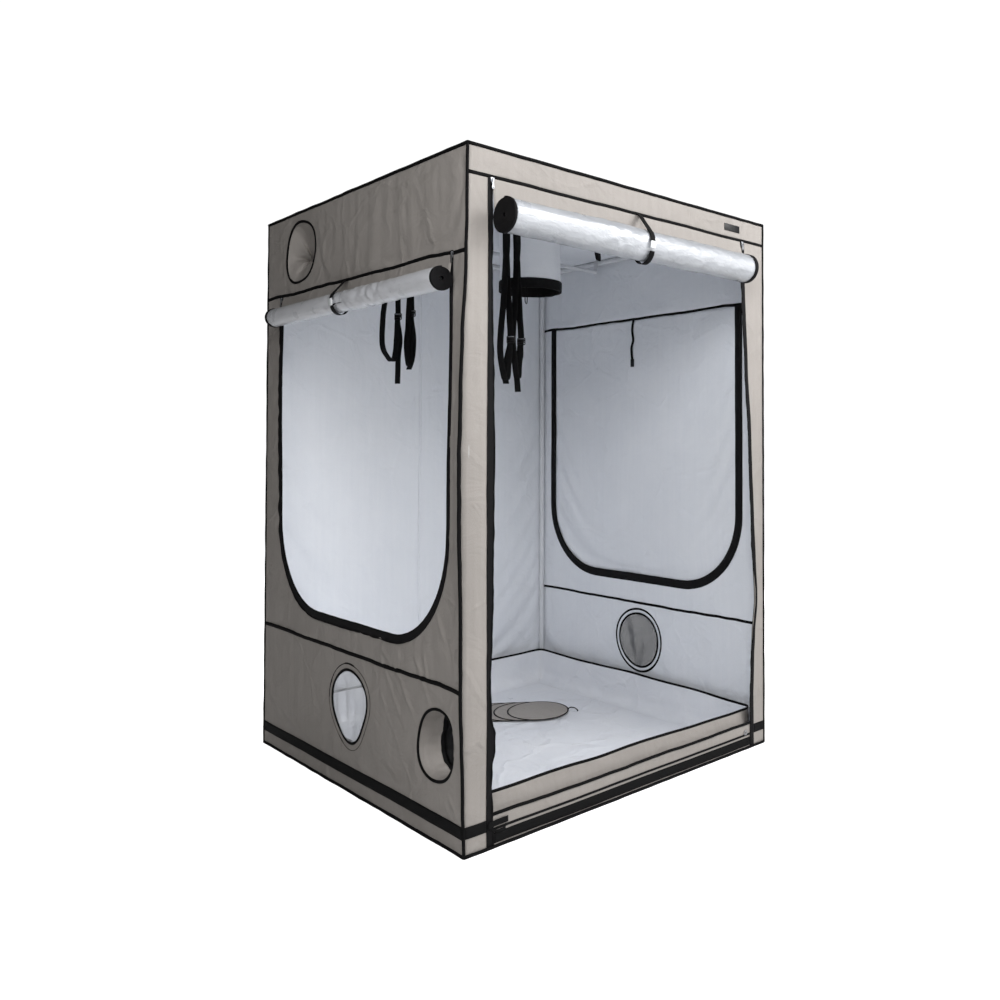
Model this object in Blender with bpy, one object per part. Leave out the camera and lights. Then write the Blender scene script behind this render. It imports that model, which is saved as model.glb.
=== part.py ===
"""Indoor grow tent: a steel tube frame in a fabric cover, with rolled doors, duct ports and hanging gear.

Metres. The origin is the centre of the base, on the ground.
+X runs to the right along the front, +Y to the back, and +Z up.
Each flat wall is drawn in its own plane (across, up) and then stood up.
A moving piece has its origin on its joint.
"""

import bpy
import bmesh
from math import acos, atan2, ceil, cos, pi, radians, sin
from mathutils import Matrix, Vector

# Overall size, measured over the edge piping
TENT_WIDTH = 1.500
TENT_DEPTH = 1.500
TENT_HEIGHT = 2.200

# Cloth and sewing
FABRIC = 0.0012
SEAT_GAP = 0.0003
PIPING_RADIUS = 0.005
PIPING_LIFT = 0.001
PIPING_SIDES = 8
WEBBING = 0.0015

# Frame tubes and their corner pieces
TUBE_DIAMETER = 0.025
TUBE_WALL = 0.0015
TUBE_SIDES = 16
SPIGOT_LENGTH = 0.050
SPIGOT_WALL_GAP = 0.0004
HUB_ARM = 0.032
ROOF_CLEARANCE = 0.006

# Crossbars, which hang on the side rails by their end hooks
BAR_DIAMETER = 0.018
BAR_DROP = 0.045
BAR_SIDES = 14
HOOK_THICKNESS = 0.003
HOOK_WIDTH = 0.024
HOOK_LIP_ANGLE = radians(40)
HOOK_TOE = 0.012
HOOK_STEPS = 8
BAR_FRONT_Y = -0.290
BAR_BACK_Y = 0.280

# Hanging belts: their bar, place along it, and how far the buckle, the lower loop and the tail hang below it
BELT_WIDTH = 0.025
BELTS = {
    "hanging_belt_front_left": ("front", -0.268, 0.460, 0.535, 0.640),
    "hanging_belt_front_right": ("front", -0.205, 0.480, 0.560, 0.670),
    "hanging_belt_back_left": ("back", -0.400, 0.330, 0.510, 0.560),
    "hanging_belt_back_right": ("back", -0.340, 0.400, 0.535, 0.620),
}
BELT_LOOP_HALF_WIDTH = 0.022
BELT_TAIL_OFFSET = 0.005
BUCKLE_SIZE = (0.034, 0.012, 0.026)
BUCKLE_BEVEL = 0.003
LOOP_STEPS = 8

# Front doorway: header and sill heights, and each pillar's width from the corner to the middle of its zip
HEADER_HEIGHT = 0.095
SILL_TOP_Z = 0.107
LEFT_PILLAR_TOP = 0.095
LEFT_PILLAR_BOTTOM = 0.100
RIGHT_PILLAR_TOP = 0.148
RIGHT_PILLAR_BOTTOM = 0.097
ZIP_FOOT_Z = 0.012

# Side doorways, U shaped, open at the seam: what stays of the wall above, in front of and behind each
SIDE_HEADER_HEIGHT = 0.330
SIDE_DOOR_BOTTOM_Z = 0.610
SIDE_DOOR_RADIUS = 0.340
SIDE_DOOR_ARC_STEPS = 10
LEFT_DOOR_FRONT_MARGIN = 0.082
LEFT_DOOR_BACK_MARGIN = 0.146
RIGHT_DOOR_FRONT_MARGIN = 0.130
RIGHT_DOOR_BACK_MARGIN = 0.098
DOOR_HINGE_GAP = 0.0020

# Zips
TAPE_WIDTH = 0.031
TAPE_THICKNESS = 0.0012
SLIDER_LENGTH = 0.020
SLIDER_WIDTH = 0.013
SLIDER_PLATE = 0.0030
SLIDER_NECK_SHARE = 0.55
BRIDGE_HEIGHT = 0.0035
BRIDGE_THICKNESS = 0.0014
BRIDGE_WIDTH = 0.0040
TAB_LENGTH = 0.030
TAB_WIDTH = 0.008
TAB_THICKNESS = 0.0016
TAB_HOLE_RADIUS = 0.0022
TAB_ROUND_STEPS = 6
SLIDER_SEAM_GAP = 0.004

# Rolled doors: how far the roll hangs below its seam, and how far its ends stay from the tent's corners
FRONT_ROLL_DIAMETER = 0.120
FRONT_ROLL_CORE = 0.054
FRONT_ROLL_DROP = 0.137
FRONT_ROLL_LEFT_MARGIN = 0.089
FRONT_ROLL_RIGHT_MARGIN = 0.204
LEFT_ROLL_DIAMETER = 0.082
LEFT_ROLL_CORE = 0.034
LEFT_ROLL_DROP = 0.099
LEFT_ROLL_FRONT_MARGIN = 0.060
LEFT_ROLL_BACK_MARGIN = 0.198
ROLL_STANDOFF = 0.014
ROLL_STEPS_PER_TURN = 18
CURTAIN_SIDE_GAP = 0.006

# Roll straps
STRAP_WIDTH = 0.020
STRAP_OUTER_CLEARANCE = 0.0010
STRAP_INNER_CLEARANCE = 0.0050
STRAP_STEPS = 10
FRONT_STRAP_X = -0.030
LEFT_STRAP_Y = 0.020
RIGHT_STRAP_Y = 0.035
STRAP_BUCKLE_SIZE = (0.030, 0.008, 0.026)
STRAP_TAIL = 0.035
RIGHT_STRAP_LENGTH = 0.215
RIGHT_OUTER_STRAP_LENGTH = 0.190

# Ports and vents: the upper port is placed from the top and the back, the lower one from the front
UPPER_PORT_DIAMETER = 0.255
UPPER_PORT_FROM_BACK = 0.320
UPPER_PORT_FROM_TOP = 0.170
UPPER_SOCK_DEPTH = 0.100
UPPER_SOCK_THROAT = 0.024
UPPER_SOCK_COLLAR = 0.015
LOWER_PORT_DIAMETER = 0.222
LOWER_PORT_FROM_FRONT = 0.168
LOWER_PORT_Z = 0.304
LOWER_SOCK_LENGTH = 0.150
ROOF_PORT_DIAMETER = 0.265
ROOF_PORT_X = 0.078
ROOF_PORT_Y = 0.0
ROOF_SOCK_LENGTH = 0.280
SOCK_BAND_WIDTH = 0.040
LOWER_SOCK_BAND_WIDTH = 0.024
SOCK_BAND_THICKNESS = 0.0030
PORT_SIDES = 32
VENT_DIAMETER = 0.262
VENT_Z = 0.316
LEFT_VENT_Y = -0.008
RIGHT_VENT_Y = 0.004
MESH_THICKNESS = 0.0010

# Spill tray and the vent covers that lie in it
TRAY_HEIGHT = 0.152
TRAY_CORNER_RADIUS = 0.030
TRAY_CORNER_STEPS = 4
TRAY_RIM_BEAD = 0.0035
COVER_DIAMETER = 0.288
COVER_THICKNESS = 0.0020
COVER_SIDES = 32
COVER_STACK = ("vent_cover_bottom", "vent_cover_lower", "vent_cover_upper", "vent_cover_top")
TOP_COVER_X = 0.330
TOP_COVER_Y = 0.255
COVER_FAN_STEP = 0.045

# Planes and axes worked out from the sizes above
TUBE_RADIUS = TUBE_DIAMETER / 2
WALL_X = TENT_WIDTH / 2 - PIPING_RADIUS
WALL_Y = TENT_DEPTH / 2 - PIPING_RADIUS
ROOF_Z = TENT_HEIGHT - PIPING_RADIUS
BEAD_Z = PIPING_LIFT + PIPING_RADIUS
WALL_FOOT_Z = BEAD_Z + PIPING_RADIUS + SEAT_GAP
WALL_HEAD_Z = ROOF_Z - PIPING_RADIUS - SEAT_GAP
WALL_HALF_X = WALL_X - PIPING_RADIUS - SEAT_GAP
WALL_HALF_Y = WALL_Y - PIPING_RADIUS - SEAT_GAP
POST_X = WALL_X - PIPING_RADIUS - SEAT_GAP - TUBE_RADIUS
POST_Y = WALL_Y - PIPING_RADIUS - SEAT_GAP - TUBE_RADIUS
BOTTOM_RAIL_Z = FABRIC + SEAT_GAP + TUBE_RADIUS
TOP_RAIL_Z = ROOF_Z - FABRIC / 2 - ROOF_CLEARANCE - TUBE_RADIUS
BAR_Z = TOP_RAIL_Z - BAR_DROP
TAPE_FACE = FABRIC / 2 + TAPE_THICKNESS
SLIDER_FACE = TAPE_FACE + SEAT_GAP

# Doorways, rolls and ports, each tied to the wall that it is in
HEADER_SEAM_Z = TENT_HEIGHT - HEADER_HEIGHT
SIDE_SEAM_Z = TENT_HEIGHT - SIDE_HEADER_HEIGHT
LEFT_DOOR_HALF_WIDTH = (TENT_DEPTH - LEFT_DOOR_FRONT_MARGIN - LEFT_DOOR_BACK_MARGIN) / 2
LEFT_DOOR_CENTRE_Y = (LEFT_DOOR_FRONT_MARGIN - LEFT_DOOR_BACK_MARGIN) / 2
RIGHT_DOOR_HALF_WIDTH = (TENT_DEPTH - RIGHT_DOOR_FRONT_MARGIN - RIGHT_DOOR_BACK_MARGIN) / 2
RIGHT_DOOR_CENTRE_Y = (RIGHT_DOOR_FRONT_MARGIN - RIGHT_DOOR_BACK_MARGIN) / 2
LEFT_DOOR = (LEFT_DOOR_CENTRE_Y, LEFT_DOOR_HALF_WIDTH)
RIGHT_DOOR = (RIGHT_DOOR_CENTRE_Y, RIGHT_DOOR_HALF_WIDTH)
LEFT_DOOR_FROM_OUTSIDE = (-LEFT_DOOR_CENTRE_Y, LEFT_DOOR_HALF_WIDTH)
FRONT_ROLL_Z = HEADER_SEAM_Z - FRONT_ROLL_DROP
FRONT_ROLL_LEFT_X = FRONT_ROLL_LEFT_MARGIN - TENT_WIDTH / 2
FRONT_ROLL_RIGHT_X = TENT_WIDTH / 2 - FRONT_ROLL_RIGHT_MARGIN
LEFT_ROLL_Z = SIDE_SEAM_Z - LEFT_ROLL_DROP
LEFT_ROLL_FRONT_Y = LEFT_ROLL_FRONT_MARGIN - TENT_DEPTH / 2
LEFT_ROLL_BACK_Y = TENT_DEPTH / 2 - LEFT_ROLL_BACK_MARGIN
UPPER_PORT_Y = TENT_DEPTH / 2 - UPPER_PORT_FROM_BACK
UPPER_PORT_Z = TENT_HEIGHT - UPPER_PORT_FROM_TOP
LOWER_PORT_Y = LOWER_PORT_FROM_FRONT - TENT_DEPTH / 2
FRONT_ROLL_Y = -(WALL_Y + FABRIC / 2 + ROLL_STANDOFF + FRONT_ROLL_DIAMETER / 2)
LEFT_ROLL_X = -(WALL_X + FABRIC / 2 + ROLL_STANDOFF + LEFT_ROLL_DIAMETER / 2)

# Turns that stand a flat drawing (across, up) on each wall, with its outward side along +X, -Y or -X
ON_FRONT = Matrix(((1, 0, 0), (0, 0, -1), (0, 1, 0))).to_4x4()
ON_BACK = Matrix(((-1, 0, 0), (0, 0, 1), (0, 1, 0))).to_4x4()
ON_LEFT = Matrix(((0, 0, -1), (-1, 0, 0), (0, 1, 0))).to_4x4()
ON_RIGHT = Matrix(((0, 0, 1), (1, 0, 0), (0, 1, 0))).to_4x4()
ALONG_X = Matrix(((0, 0, 1), (1, 0, 0), (0, 1, 0))).to_4x4()
ALONG_Y = Matrix(((1, 0, 0), (0, 0, -1), (0, 1, 0))).to_4x4()
FLAT = Matrix.Identity(4)

COLOURS = {
    "greige_fabric": ((0.46, 0.44, 0.40), 0.75, 0.0),
    "white_lining": ((0.80, 0.81, 0.83), 0.35, 0.0),
    "black_binding": ((0.012, 0.012, 0.013), 0.70, 0.0),
    "white_enamel": ((0.78, 0.78, 0.78), 0.40, 0.0),
    "black_webbing": ((0.015, 0.015, 0.016), 0.80, 0.0),
    "zinc": ((0.70, 0.70, 0.71), 0.28, 1.0),
    "vent_mesh": ((0.30, 0.30, 0.31), 0.80, 0.0),
}


def clear_scene():
    for found in list(bpy.data.objects):
        bpy.data.objects.remove(found, do_unlink=True)


def material(name):
    """The material of that name, made on first use."""
    made = bpy.data.materials.get(name)
    if made:
        return made
    made = bpy.data.materials.new(name)
    made.use_nodes = True
    colour, roughness, metallic = COLOURS[name]
    shader = made.node_tree.nodes["Principled BSDF"]
    shader.inputs["Base Color"].default_value = (*colour, 1.0)
    shader.inputs["Roughness"].default_value = roughness
    shader.inputs["Metallic"].default_value = metallic
    return made


def add(name, mesh, finish, place=(0, 0, 0), turn=FLAT, parent=None):
    """Puts a mesh in the scene under its node's name, at a place and with a turn."""
    mesh.name = name
    mesh.materials.clear()
    mesh.materials.append(material(finish))
    made = bpy.data.objects.new(name, mesh)
    bpy.context.scene.collection.objects.link(made)
    made.parent = parent
    made.matrix_basis = Matrix.Translation(place) @ turn
    return made


def mesh_from(bm, name="shape"):
    """Closes off a bmesh: doubles merged, faces turned outwards."""
    bmesh.ops.remove_doubles(bm, verts=bm.verts, dist=FABRIC / 100)
    bmesh.ops.recalc_face_normals(bm, faces=bm.faces)
    made = bpy.data.meshes.new(name)
    bm.to_mesh(made)
    bm.free()
    return made


def smooth(mesh, angle=radians(40)):
    """Shades a round piece smooth, with its hard edges kept."""
    mesh.shade_smooth()
    mesh.set_sharp_from_angle(angle=angle)
    return mesh


def union(*meshes):
    """One closed body from several meshes that overlap."""
    helpers = [bpy.data.objects.new("piece", mesh) for mesh in meshes]
    for helper in helpers:
        bpy.context.scene.collection.objects.link(helper)
        helper.hide_render = True
    whole = helpers[0]
    for other in helpers[1:]:
        joined = whole.modifiers.new("join", "BOOLEAN")
        joined.operation = "UNION"
        joined.solver = "EXACT"
        joined.object = other
    bpy.context.view_layer.update()
    graph = bpy.context.evaluated_depsgraph_get()
    made = bpy.data.meshes.new_from_object(whole.evaluated_get(graph))
    for helper in helpers:
        bpy.data.objects.remove(helper, do_unlink=True)
    return made


def moved(mesh, turn=FLAT, place=(0, 0, 0)):
    """The same mesh, turned and then shifted."""
    mesh.transform(Matrix.Translation(place) @ turn)
    if turn.determinant() < 0:
        mesh.flip_normals()
    return mesh


def sheet(outline, holes=(), thickness=FABRIC, lift=0.0):
    """A flat sheet with holes, centred on its plane or lifted off it."""
    bm = bmesh.new()
    for loop in (outline, *holes):
        corners = [bm.verts.new((across, up, lift - thickness / 2)) for across, up in loop]
        for corner, following in zip(corners, corners[1:] + corners[:1]):
            bm.edges.new((corner, following))
    bmesh.ops.triangle_fill(bm, use_beauty=True, use_dissolve=False, edges=bm.edges[:])
    raised = bmesh.ops.extrude_face_region(bm, geom=bm.faces[:])
    upper = [part for part in raised["geom"] if isinstance(part, bmesh.types.BMVert)]
    bmesh.ops.translate(bm, vec=(0, 0, thickness), verts=upper)
    return mesh_from(bm)


def ribbon(path, thickness, width):
    """A band that follows a path in its plane and is as wide as given, centred, across it."""
    points = [Vector((across, up)) for across, up in path]
    bm = bmesh.new()
    near, far = [], []
    for index, point in enumerate(points):
        before = points[max(index - 1, 0)]
        after = points[min(index + 1, len(points) - 1)]
        along = (after - before).normalized()
        side = Vector((-along.y, along.x)) * thickness / 2
        near.append(bm.verts.new((*(point - side), -width / 2)))
        far.append(bm.verts.new((*(point + side), -width / 2)))
    for index in range(len(points) - 1):
        bm.faces.new((near[index], near[index + 1], far[index + 1], far[index]))
    raised = bmesh.ops.extrude_face_region(bm, geom=bm.faces[:])
    upper = [part for part in raised["geom"] if isinstance(part, bmesh.types.BMVert)]
    bmesh.ops.translate(bm, vec=(0, 0, width), verts=upper)
    return mesh_from(bm)


def revolved(profile, sides):
    """A turned piece about +Z. The profile is (radius, height) points; points on the axis close its ends."""
    bm = bmesh.new()
    corners = [bm.verts.new((radius, 0, height)) for radius, height in profile]
    closing = corners[:1] if all(radius > 0 for radius, _ in profile) else []
    ring = corners + closing
    edges = [bm.edges.new(pair) for pair in zip(ring, ring[1:])]
    bmesh.ops.spin(
        bm, geom=corners + edges, cent=(0, 0, 0), axis=(0, 0, 1), angle=2 * pi, steps=sides, use_merge=True
    )
    return mesh_from(bm)


def rod(radius, length, sides):
    """A solid round bar along +Z from the origin."""
    return revolved([(0, 0), (radius, 0), (radius, length), (0, length)], sides)


def block(size, bevel=0.0):
    """A box centred on the origin, with its edges broken if a bevel is given."""
    bm = bmesh.new()
    bmesh.ops.create_cube(bm, size=1, matrix=Matrix.Diagonal((*size, 1)))
    if bevel:
        bmesh.ops.bevel(bm, geom=bm.edges[:], offset=bevel, offset_type="OFFSET", segments=1, affect="EDGES")
    return mesh_from(bm)


def rectangle(left, right, bottom, top):
    return [(left, bottom), (right, bottom), (right, top), (left, top)]


def circle(centre, radius, sides=PORT_SIDES):
    """A round outline as corner points."""
    turns = [2 * pi * step / sides for step in range(sides)]
    return [(centre[0] + radius * cos(turn), centre[1] + radius * sin(turn)) for turn in turns]


def arc(centre, radius, start, end, steps):
    """Points along an arc, both ends included."""
    turns = [start + (end - start) * step / steps for step in range(steps + 1)]
    return [(centre[0] + radius * cos(turn), centre[1] + radius * sin(turn)) for turn in turns]


def u_edge(door, inset, top=SIDE_SEAM_Z):
    """The U of a side door's edge, moved in by an inset: down one leg, round the foot and up the other."""
    centre, half_width = door[0], door[1] - inset
    radius = SIDE_DOOR_RADIUS - inset
    arc_z = SIDE_DOOR_BOTTOM_Z + SIDE_DOOR_RADIUS
    feet = arc((centre - half_width + radius, arc_z), radius, pi, 1.5 * pi, SIDE_DOOR_ARC_STEPS)
    feet += arc((centre + half_width - radius, arc_z), radius, 1.5 * pi, 2 * pi, SIDE_DOOR_ARC_STEPS)
    return [(centre - half_width, top), *feet, (centre + half_width, top)]


def u_tape(door):
    """The zip tape of a side door, sewn on the wall's outer face."""
    outer = u_edge(door, -TAPE_WIDTH / 2)
    inner = u_edge(door, TAPE_WIDTH / 2)
    return sheet(outer + inner[::-1], thickness=TAPE_FACE, lift=TAPE_FACE / 2)


def wall_outline(half):
    return rectangle(-half, half, WALL_FOOT_Z, WALL_HEAD_Z)


def front_zip_x(side, height):
    """Where the front zip's middle line is at a height: the pillars lean in slightly towards the top."""
    share = (height - ZIP_FOOT_Z) / (HEADER_SEAM_Z - ZIP_FOOT_Z)
    if side == "left":
        return LEFT_PILLAR_BOTTOM + (LEFT_PILLAR_TOP - LEFT_PILLAR_BOTTOM) * share - TENT_WIDTH / 2
    return TENT_WIDTH / 2 - RIGHT_PILLAR_BOTTOM - (RIGHT_PILLAR_TOP - RIGHT_PILLAR_BOTTOM) * share


def front_tape(side):
    """One of the two upright zip tapes of the front doorway."""
    foot = front_zip_x(side, ZIP_FOOT_Z)
    head = front_zip_x(side, HEADER_SEAM_Z)
    half = TAPE_WIDTH / 2
    outline = [
        (foot - half, ZIP_FOOT_Z),
        (foot + half, ZIP_FOOT_Z),
        (head + half, HEADER_SEAM_Z),
        (head - half, HEADER_SEAM_Z),
    ]
    return sheet(outline, thickness=TAPE_FACE, lift=TAPE_FACE / 2)


def make_shell():
    """The sewn cover: roof, walls, front with its doorway, and base floor."""
    roof_hole = circle((ROOF_PORT_X, ROOF_PORT_Y), ROOF_PORT_DIAMETER / 2)
    roof = rectangle(-WALL_HALF_X, WALL_HALF_X, -WALL_HALF_Y, WALL_HALF_Y)
    add("roof_panel", sheet(roof, [roof_hole]), "greige_fabric", (0, 0, ROOF_Z))
    add("base_floor", sheet(roof), "greige_fabric", (0, 0, FABRIC / 2))
    add("back_panel", sheet(wall_outline(WALL_HALF_X)), "greige_fabric", (0, WALL_Y, 0), ON_BACK)
    add("front_panel", front_mesh(), "greige_fabric", (0, -WALL_Y, 0), ON_FRONT)
    add("left_wall", side_mesh("left"), "greige_fabric", (-WALL_X, 0, 0), ON_LEFT)
    add("right_wall", side_mesh("right"), "greige_fabric", (WALL_X, 0, 0), ON_RIGHT)


def front_mesh():
    """The front panel round its doorway, with both zip tapes sewn on."""
    doorway = [
        (front_zip_x("left", SILL_TOP_Z), SILL_TOP_Z),
        (front_zip_x("right", SILL_TOP_Z), SILL_TOP_Z),
        (front_zip_x("right", HEADER_SEAM_Z), HEADER_SEAM_Z),
        (front_zip_x("left", HEADER_SEAM_Z), HEADER_SEAM_Z),
    ]
    panel = sheet(wall_outline(WALL_HALF_X), [doorway])
    return union(panel, front_tape("left"), front_tape("right"))


def side_mesh(side):
    """A side wall with its U doorway, vent and ports, drawn as seen from outside."""
    if side == "left":
        holes = [
            u_edge(LEFT_DOOR_FROM_OUTSIDE, 0),
            circle((-UPPER_PORT_Y, UPPER_PORT_Z), UPPER_PORT_DIAMETER / 2),
            circle((-LOWER_PORT_Y, LOWER_PORT_Z), LOWER_PORT_DIAMETER / 2),
            circle((-LEFT_VENT_Y, VENT_Z), VENT_DIAMETER / 2),
        ]
        tape = u_tape(LEFT_DOOR_FROM_OUTSIDE)
    else:
        holes = [u_edge(RIGHT_DOOR, 0), circle((RIGHT_VENT_Y, VENT_Z), VENT_DIAMETER / 2)]
        tape = u_tape(RIGHT_DOOR)
    return union(sheet(wall_outline(WALL_HALF_Y), holes), tape)


def mitred_loop(height):
    """A round bead along the four edges of the box at one height, with mitred corners."""
    bm = bmesh.new()
    turns = [2 * pi * (step + 0.5) / PIPING_SIDES for step in range(PIPING_SIDES)]
    rings = []
    for side_x, side_y in ((1, 1), (-1, 1), (-1, -1), (1, -1)):
        ring = []
        for turn in turns:
            out = PIPING_RADIUS * cos(turn)
            corner = (side_x * (WALL_X + out), side_y * (WALL_Y + out), height + PIPING_RADIUS * sin(turn))
            ring.append(bm.verts.new(corner))
        rings.append(ring)
    for ring, following in zip(rings, rings[1:] + rings[:1]):
        for step in range(PIPING_SIDES):
            after = (step + 1) % PIPING_SIDES
            bm.faces.new((ring[step], ring[after], following[after], following[step]))
    return mesh_from(bm)


def make_piping():
    """The bound edges of the box, sewn up as one length."""
    uprights = []
    length = ROOF_Z - BEAD_Z
    for side_x in (-1, 1):
        for side_y in (-1, 1):
            bead = rod(PIPING_RADIUS, length, PIPING_SIDES)
            foot = (side_x * WALL_X, side_y * WALL_Y, BEAD_Z)
            uprights.append(moved(bead, Matrix.Rotation(pi / PIPING_SIDES, 4, "Z"), foot))
    whole = union(mitred_loop(BEAD_Z), *uprights, mitred_loop(ROOF_Z))
    add("edge_piping", smooth(whole, radians(50)), "black_binding")


def tube(length):
    """A frame tube along +Z, open at both ends."""
    inner = TUBE_RADIUS - TUBE_WALL
    profile = [(inner, 0), (TUBE_RADIUS, 0), (TUBE_RADIUS, length), (inner, length)]
    return smooth(revolved(profile, TUBE_SIDES))


def corner_arm(turn):
    """A hub arm with its spigot, along +Z from inside the hub block, and then turned."""
    spigot = TUBE_RADIUS - TUBE_WALL - SPIGOT_WALL_GAP
    start, end = TUBE_RADIUS / 2, HUB_ARM + SPIGOT_LENGTH
    profile = [
        (0, start),
        (TUBE_RADIUS, start),
        (TUBE_RADIUS, HUB_ARM),
        (spigot, HUB_ARM),
        (spigot, end),
        (0, end),
    ]
    return moved(revolved(profile, TUBE_SIDES), turn @ Matrix.Rotation(pi / TUBE_SIDES, 4, "Z"))


def corner_mesh():
    """A three-way corner connector whose arms run along +X, +Y and +Z from its block."""
    hub = block((TUBE_DIAMETER, TUBE_DIAMETER, TUBE_DIAMETER))
    along_x = corner_arm(Matrix.Rotation(pi / 2, 4, "Y"))
    along_y = corner_arm(Matrix.Rotation(-pi / 2, 4, "X"))
    return smooth(union(hub, corner_arm(FLAT), along_x, along_y), radians(25))


def make_frame():
    """Posts and rails between eight three-way corners."""
    reach = HUB_ARM + SEAT_GAP
    post = TOP_RAIL_Z - BOTTOM_RAIL_Z - 2 * reach
    for row, side_y in (("front", -1), ("back", 1)):
        for column, side_x in (("left", -1), ("right", 1)):
            across, along = side_x * POST_X, side_y * POST_Y
            add(f"post_{row}_{column}", tube(post), "white_enamel", (across, along, BOTTOM_RAIL_Z + reach))
            for level, height, up in (("bottom", BOTTOM_RAIL_Z, 1), ("top", TOP_RAIL_Z, -1)):
                mesh = moved(corner_mesh(), Matrix.Diagonal((-side_x, -side_y, up, 1)))
                add(f"corner_{row}_{column}_{level}", mesh, "white_enamel", (across, along, height))
    for level, height in (("bottom", BOTTOM_RAIL_Z), ("top", TOP_RAIL_Z)):
        for row, side_y in (("front", -1), ("back", 1)):
            rail = moved(tube(2 * (POST_X - reach)), Matrix.Rotation(pi / 2, 4, "Y"))
            add(f"{level}_rail_{row}", rail, "white_enamel", (reach - POST_X, side_y * POST_Y, height))
        for column, side_x in (("left", -1), ("right", 1)):
            rail = moved(tube(2 * (POST_Y - reach)), Matrix.Rotation(-pi / 2, 4, "X"))
            add(f"{level}_rail_{column}", rail, "white_enamel", (side_x * POST_X, reach - POST_Y, height))


def hook_mesh(side_x):
    """The end hook of a crossbar: over the side rail and down to the bar. Origin on the bar's axis."""
    radius = TUBE_RADIUS + SEAT_GAP + HOOK_THICKNESS / 2
    centre = (side_x * POST_X, BAR_DROP)
    lip = pi / 2 - side_x * HOOK_LIP_ANGLE
    inner = pi if side_x > 0 else 0
    path = arc(centre, radius, lip, inner, HOOK_STEPS)
    leg = centre[0] - side_x * radius
    path.append((leg, -HOOK_TOE))
    return moved(ribbon(path, HOOK_THICKNESS, HOOK_WIDTH), ALONG_Y), leg


def crossbar_mesh():
    """A crossbar with both hooks. Origin at its middle, on the bar's axis."""
    left, left_leg = hook_mesh(-1)
    right, right_leg = hook_mesh(1)
    bar = rod(BAR_DIAMETER / 2, right_leg - left_leg, BAR_SIDES)
    bar = moved(bar, Matrix.Rotation(pi / 2, 4, "Y"), (left_leg, 0, 0))
    return smooth(union(bar, left, right))


def belt_mesh(buckle_drop, loop_drop, tail_drop):
    """A looped webbing belt with its buckle, hanging from the bar's axis. Width along X."""
    over_bar = BAR_DIAMETER / 2 + SEAT_GAP + WEBBING / 2
    upper = [(-WEBBING, -buckle_drop)]
    upper += arc((0, 0), over_bar, pi, 0, LOOP_STEPS)
    upper += [(WEBBING, -buckle_drop)]
    bulge = BELT_LOOP_HALF_WIDTH
    depth = loop_drop - bulge
    lower = [(-WEBBING, -buckle_drop)]
    lower += arc((0, -depth), bulge, pi, 2 * pi, LOOP_STEPS)
    lower += [(WEBBING, -buckle_drop)]
    hang = bulge + BELT_TAIL_OFFSET
    tail = [(BELT_TAIL_OFFSET, -buckle_drop), (hang, -depth), (hang, -tail_drop)]
    bands = [moved(ribbon(path, WEBBING, BELT_WIDTH), ALONG_X) for path in (upper, lower)]
    bands.append(moved(ribbon(tail, WEBBING, BELT_WIDTH - BUCKLE_BEVEL), ALONG_X))
    buckle = moved(block(BUCKLE_SIZE, BUCKLE_BEVEL), place=(0, 0, -buckle_drop))
    return union(buckle, *bands)


def make_hanging_gear():
    """Two crossbars on the side rails, with two belts on each."""
    bars = {}
    for name, place_y in (("front", BAR_FRONT_Y), ("back", BAR_BACK_Y)):
        bars[name] = add(f"crossbar_{name}", crossbar_mesh(), "white_enamel", (0, place_y, BAR_Z))
    for name, (bar, place_x, buckle, loop, tail) in BELTS.items():
        add(name, belt_mesh(buckle, loop, tail), "black_webbing", (place_x, 0, 0), parent=bars[bar])


def tray_loop(half_x, half_y, radius):
    """A rounded rectangle, corner by corner."""
    points = []
    for corner, (side_x, side_y) in enumerate(((1, 1), (-1, 1), (-1, -1), (1, -1))):
        centre = (side_x * (half_x - radius), side_y * (half_y - radius))
        points += arc(centre, radius, corner * pi / 2, (corner + 1) * pi / 2, TRAY_CORNER_STEPS)
    return points


def make_tray():
    """The spill tray: a flat floor with a standing wall and a bound rim, just inside the frame."""
    half_x = POST_X - TUBE_RADIUS - SEAT_GAP - TRAY_RIM_BEAD
    half_y = POST_Y - TUBE_RADIUS - SEAT_GAP - TRAY_RIM_BEAD
    floor = FABRIC + SEAT_GAP
    rim = TRAY_HEIGHT
    stages = [
        (FABRIC / 2, floor),
        (FABRIC / 2, rim - 2 * TRAY_RIM_BEAD),
        (TRAY_RIM_BEAD, rim - TRAY_RIM_BEAD),
        (0, rim),
        (-TRAY_RIM_BEAD, rim - TRAY_RIM_BEAD),
        (-FABRIC / 2, rim - 2 * TRAY_RIM_BEAD),
        (-FABRIC / 2, floor + FABRIC),
    ]
    bm = bmesh.new()
    rings = []
    for outset, height in stages:
        loop = tray_loop(half_x + outset, half_y + outset, TRAY_CORNER_RADIUS + outset)
        rings.append([bm.verts.new((across, along, height)) for across, along in loop])
    for ring, following in zip(rings, rings[1:]):
        for step in range(len(ring)):
            after = (step + 1) % len(ring)
            bm.faces.new((ring[step], ring[after], following[after], following[step]))
    bm.faces.new(rings[0])
    bm.faces.new(rings[-1])
    bmesh.ops.triangulate(bm, faces=[face for face in bm.faces if len(face.verts) > 4])
    add("spill_tray", mesh_from(bm), "white_lining")


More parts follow.
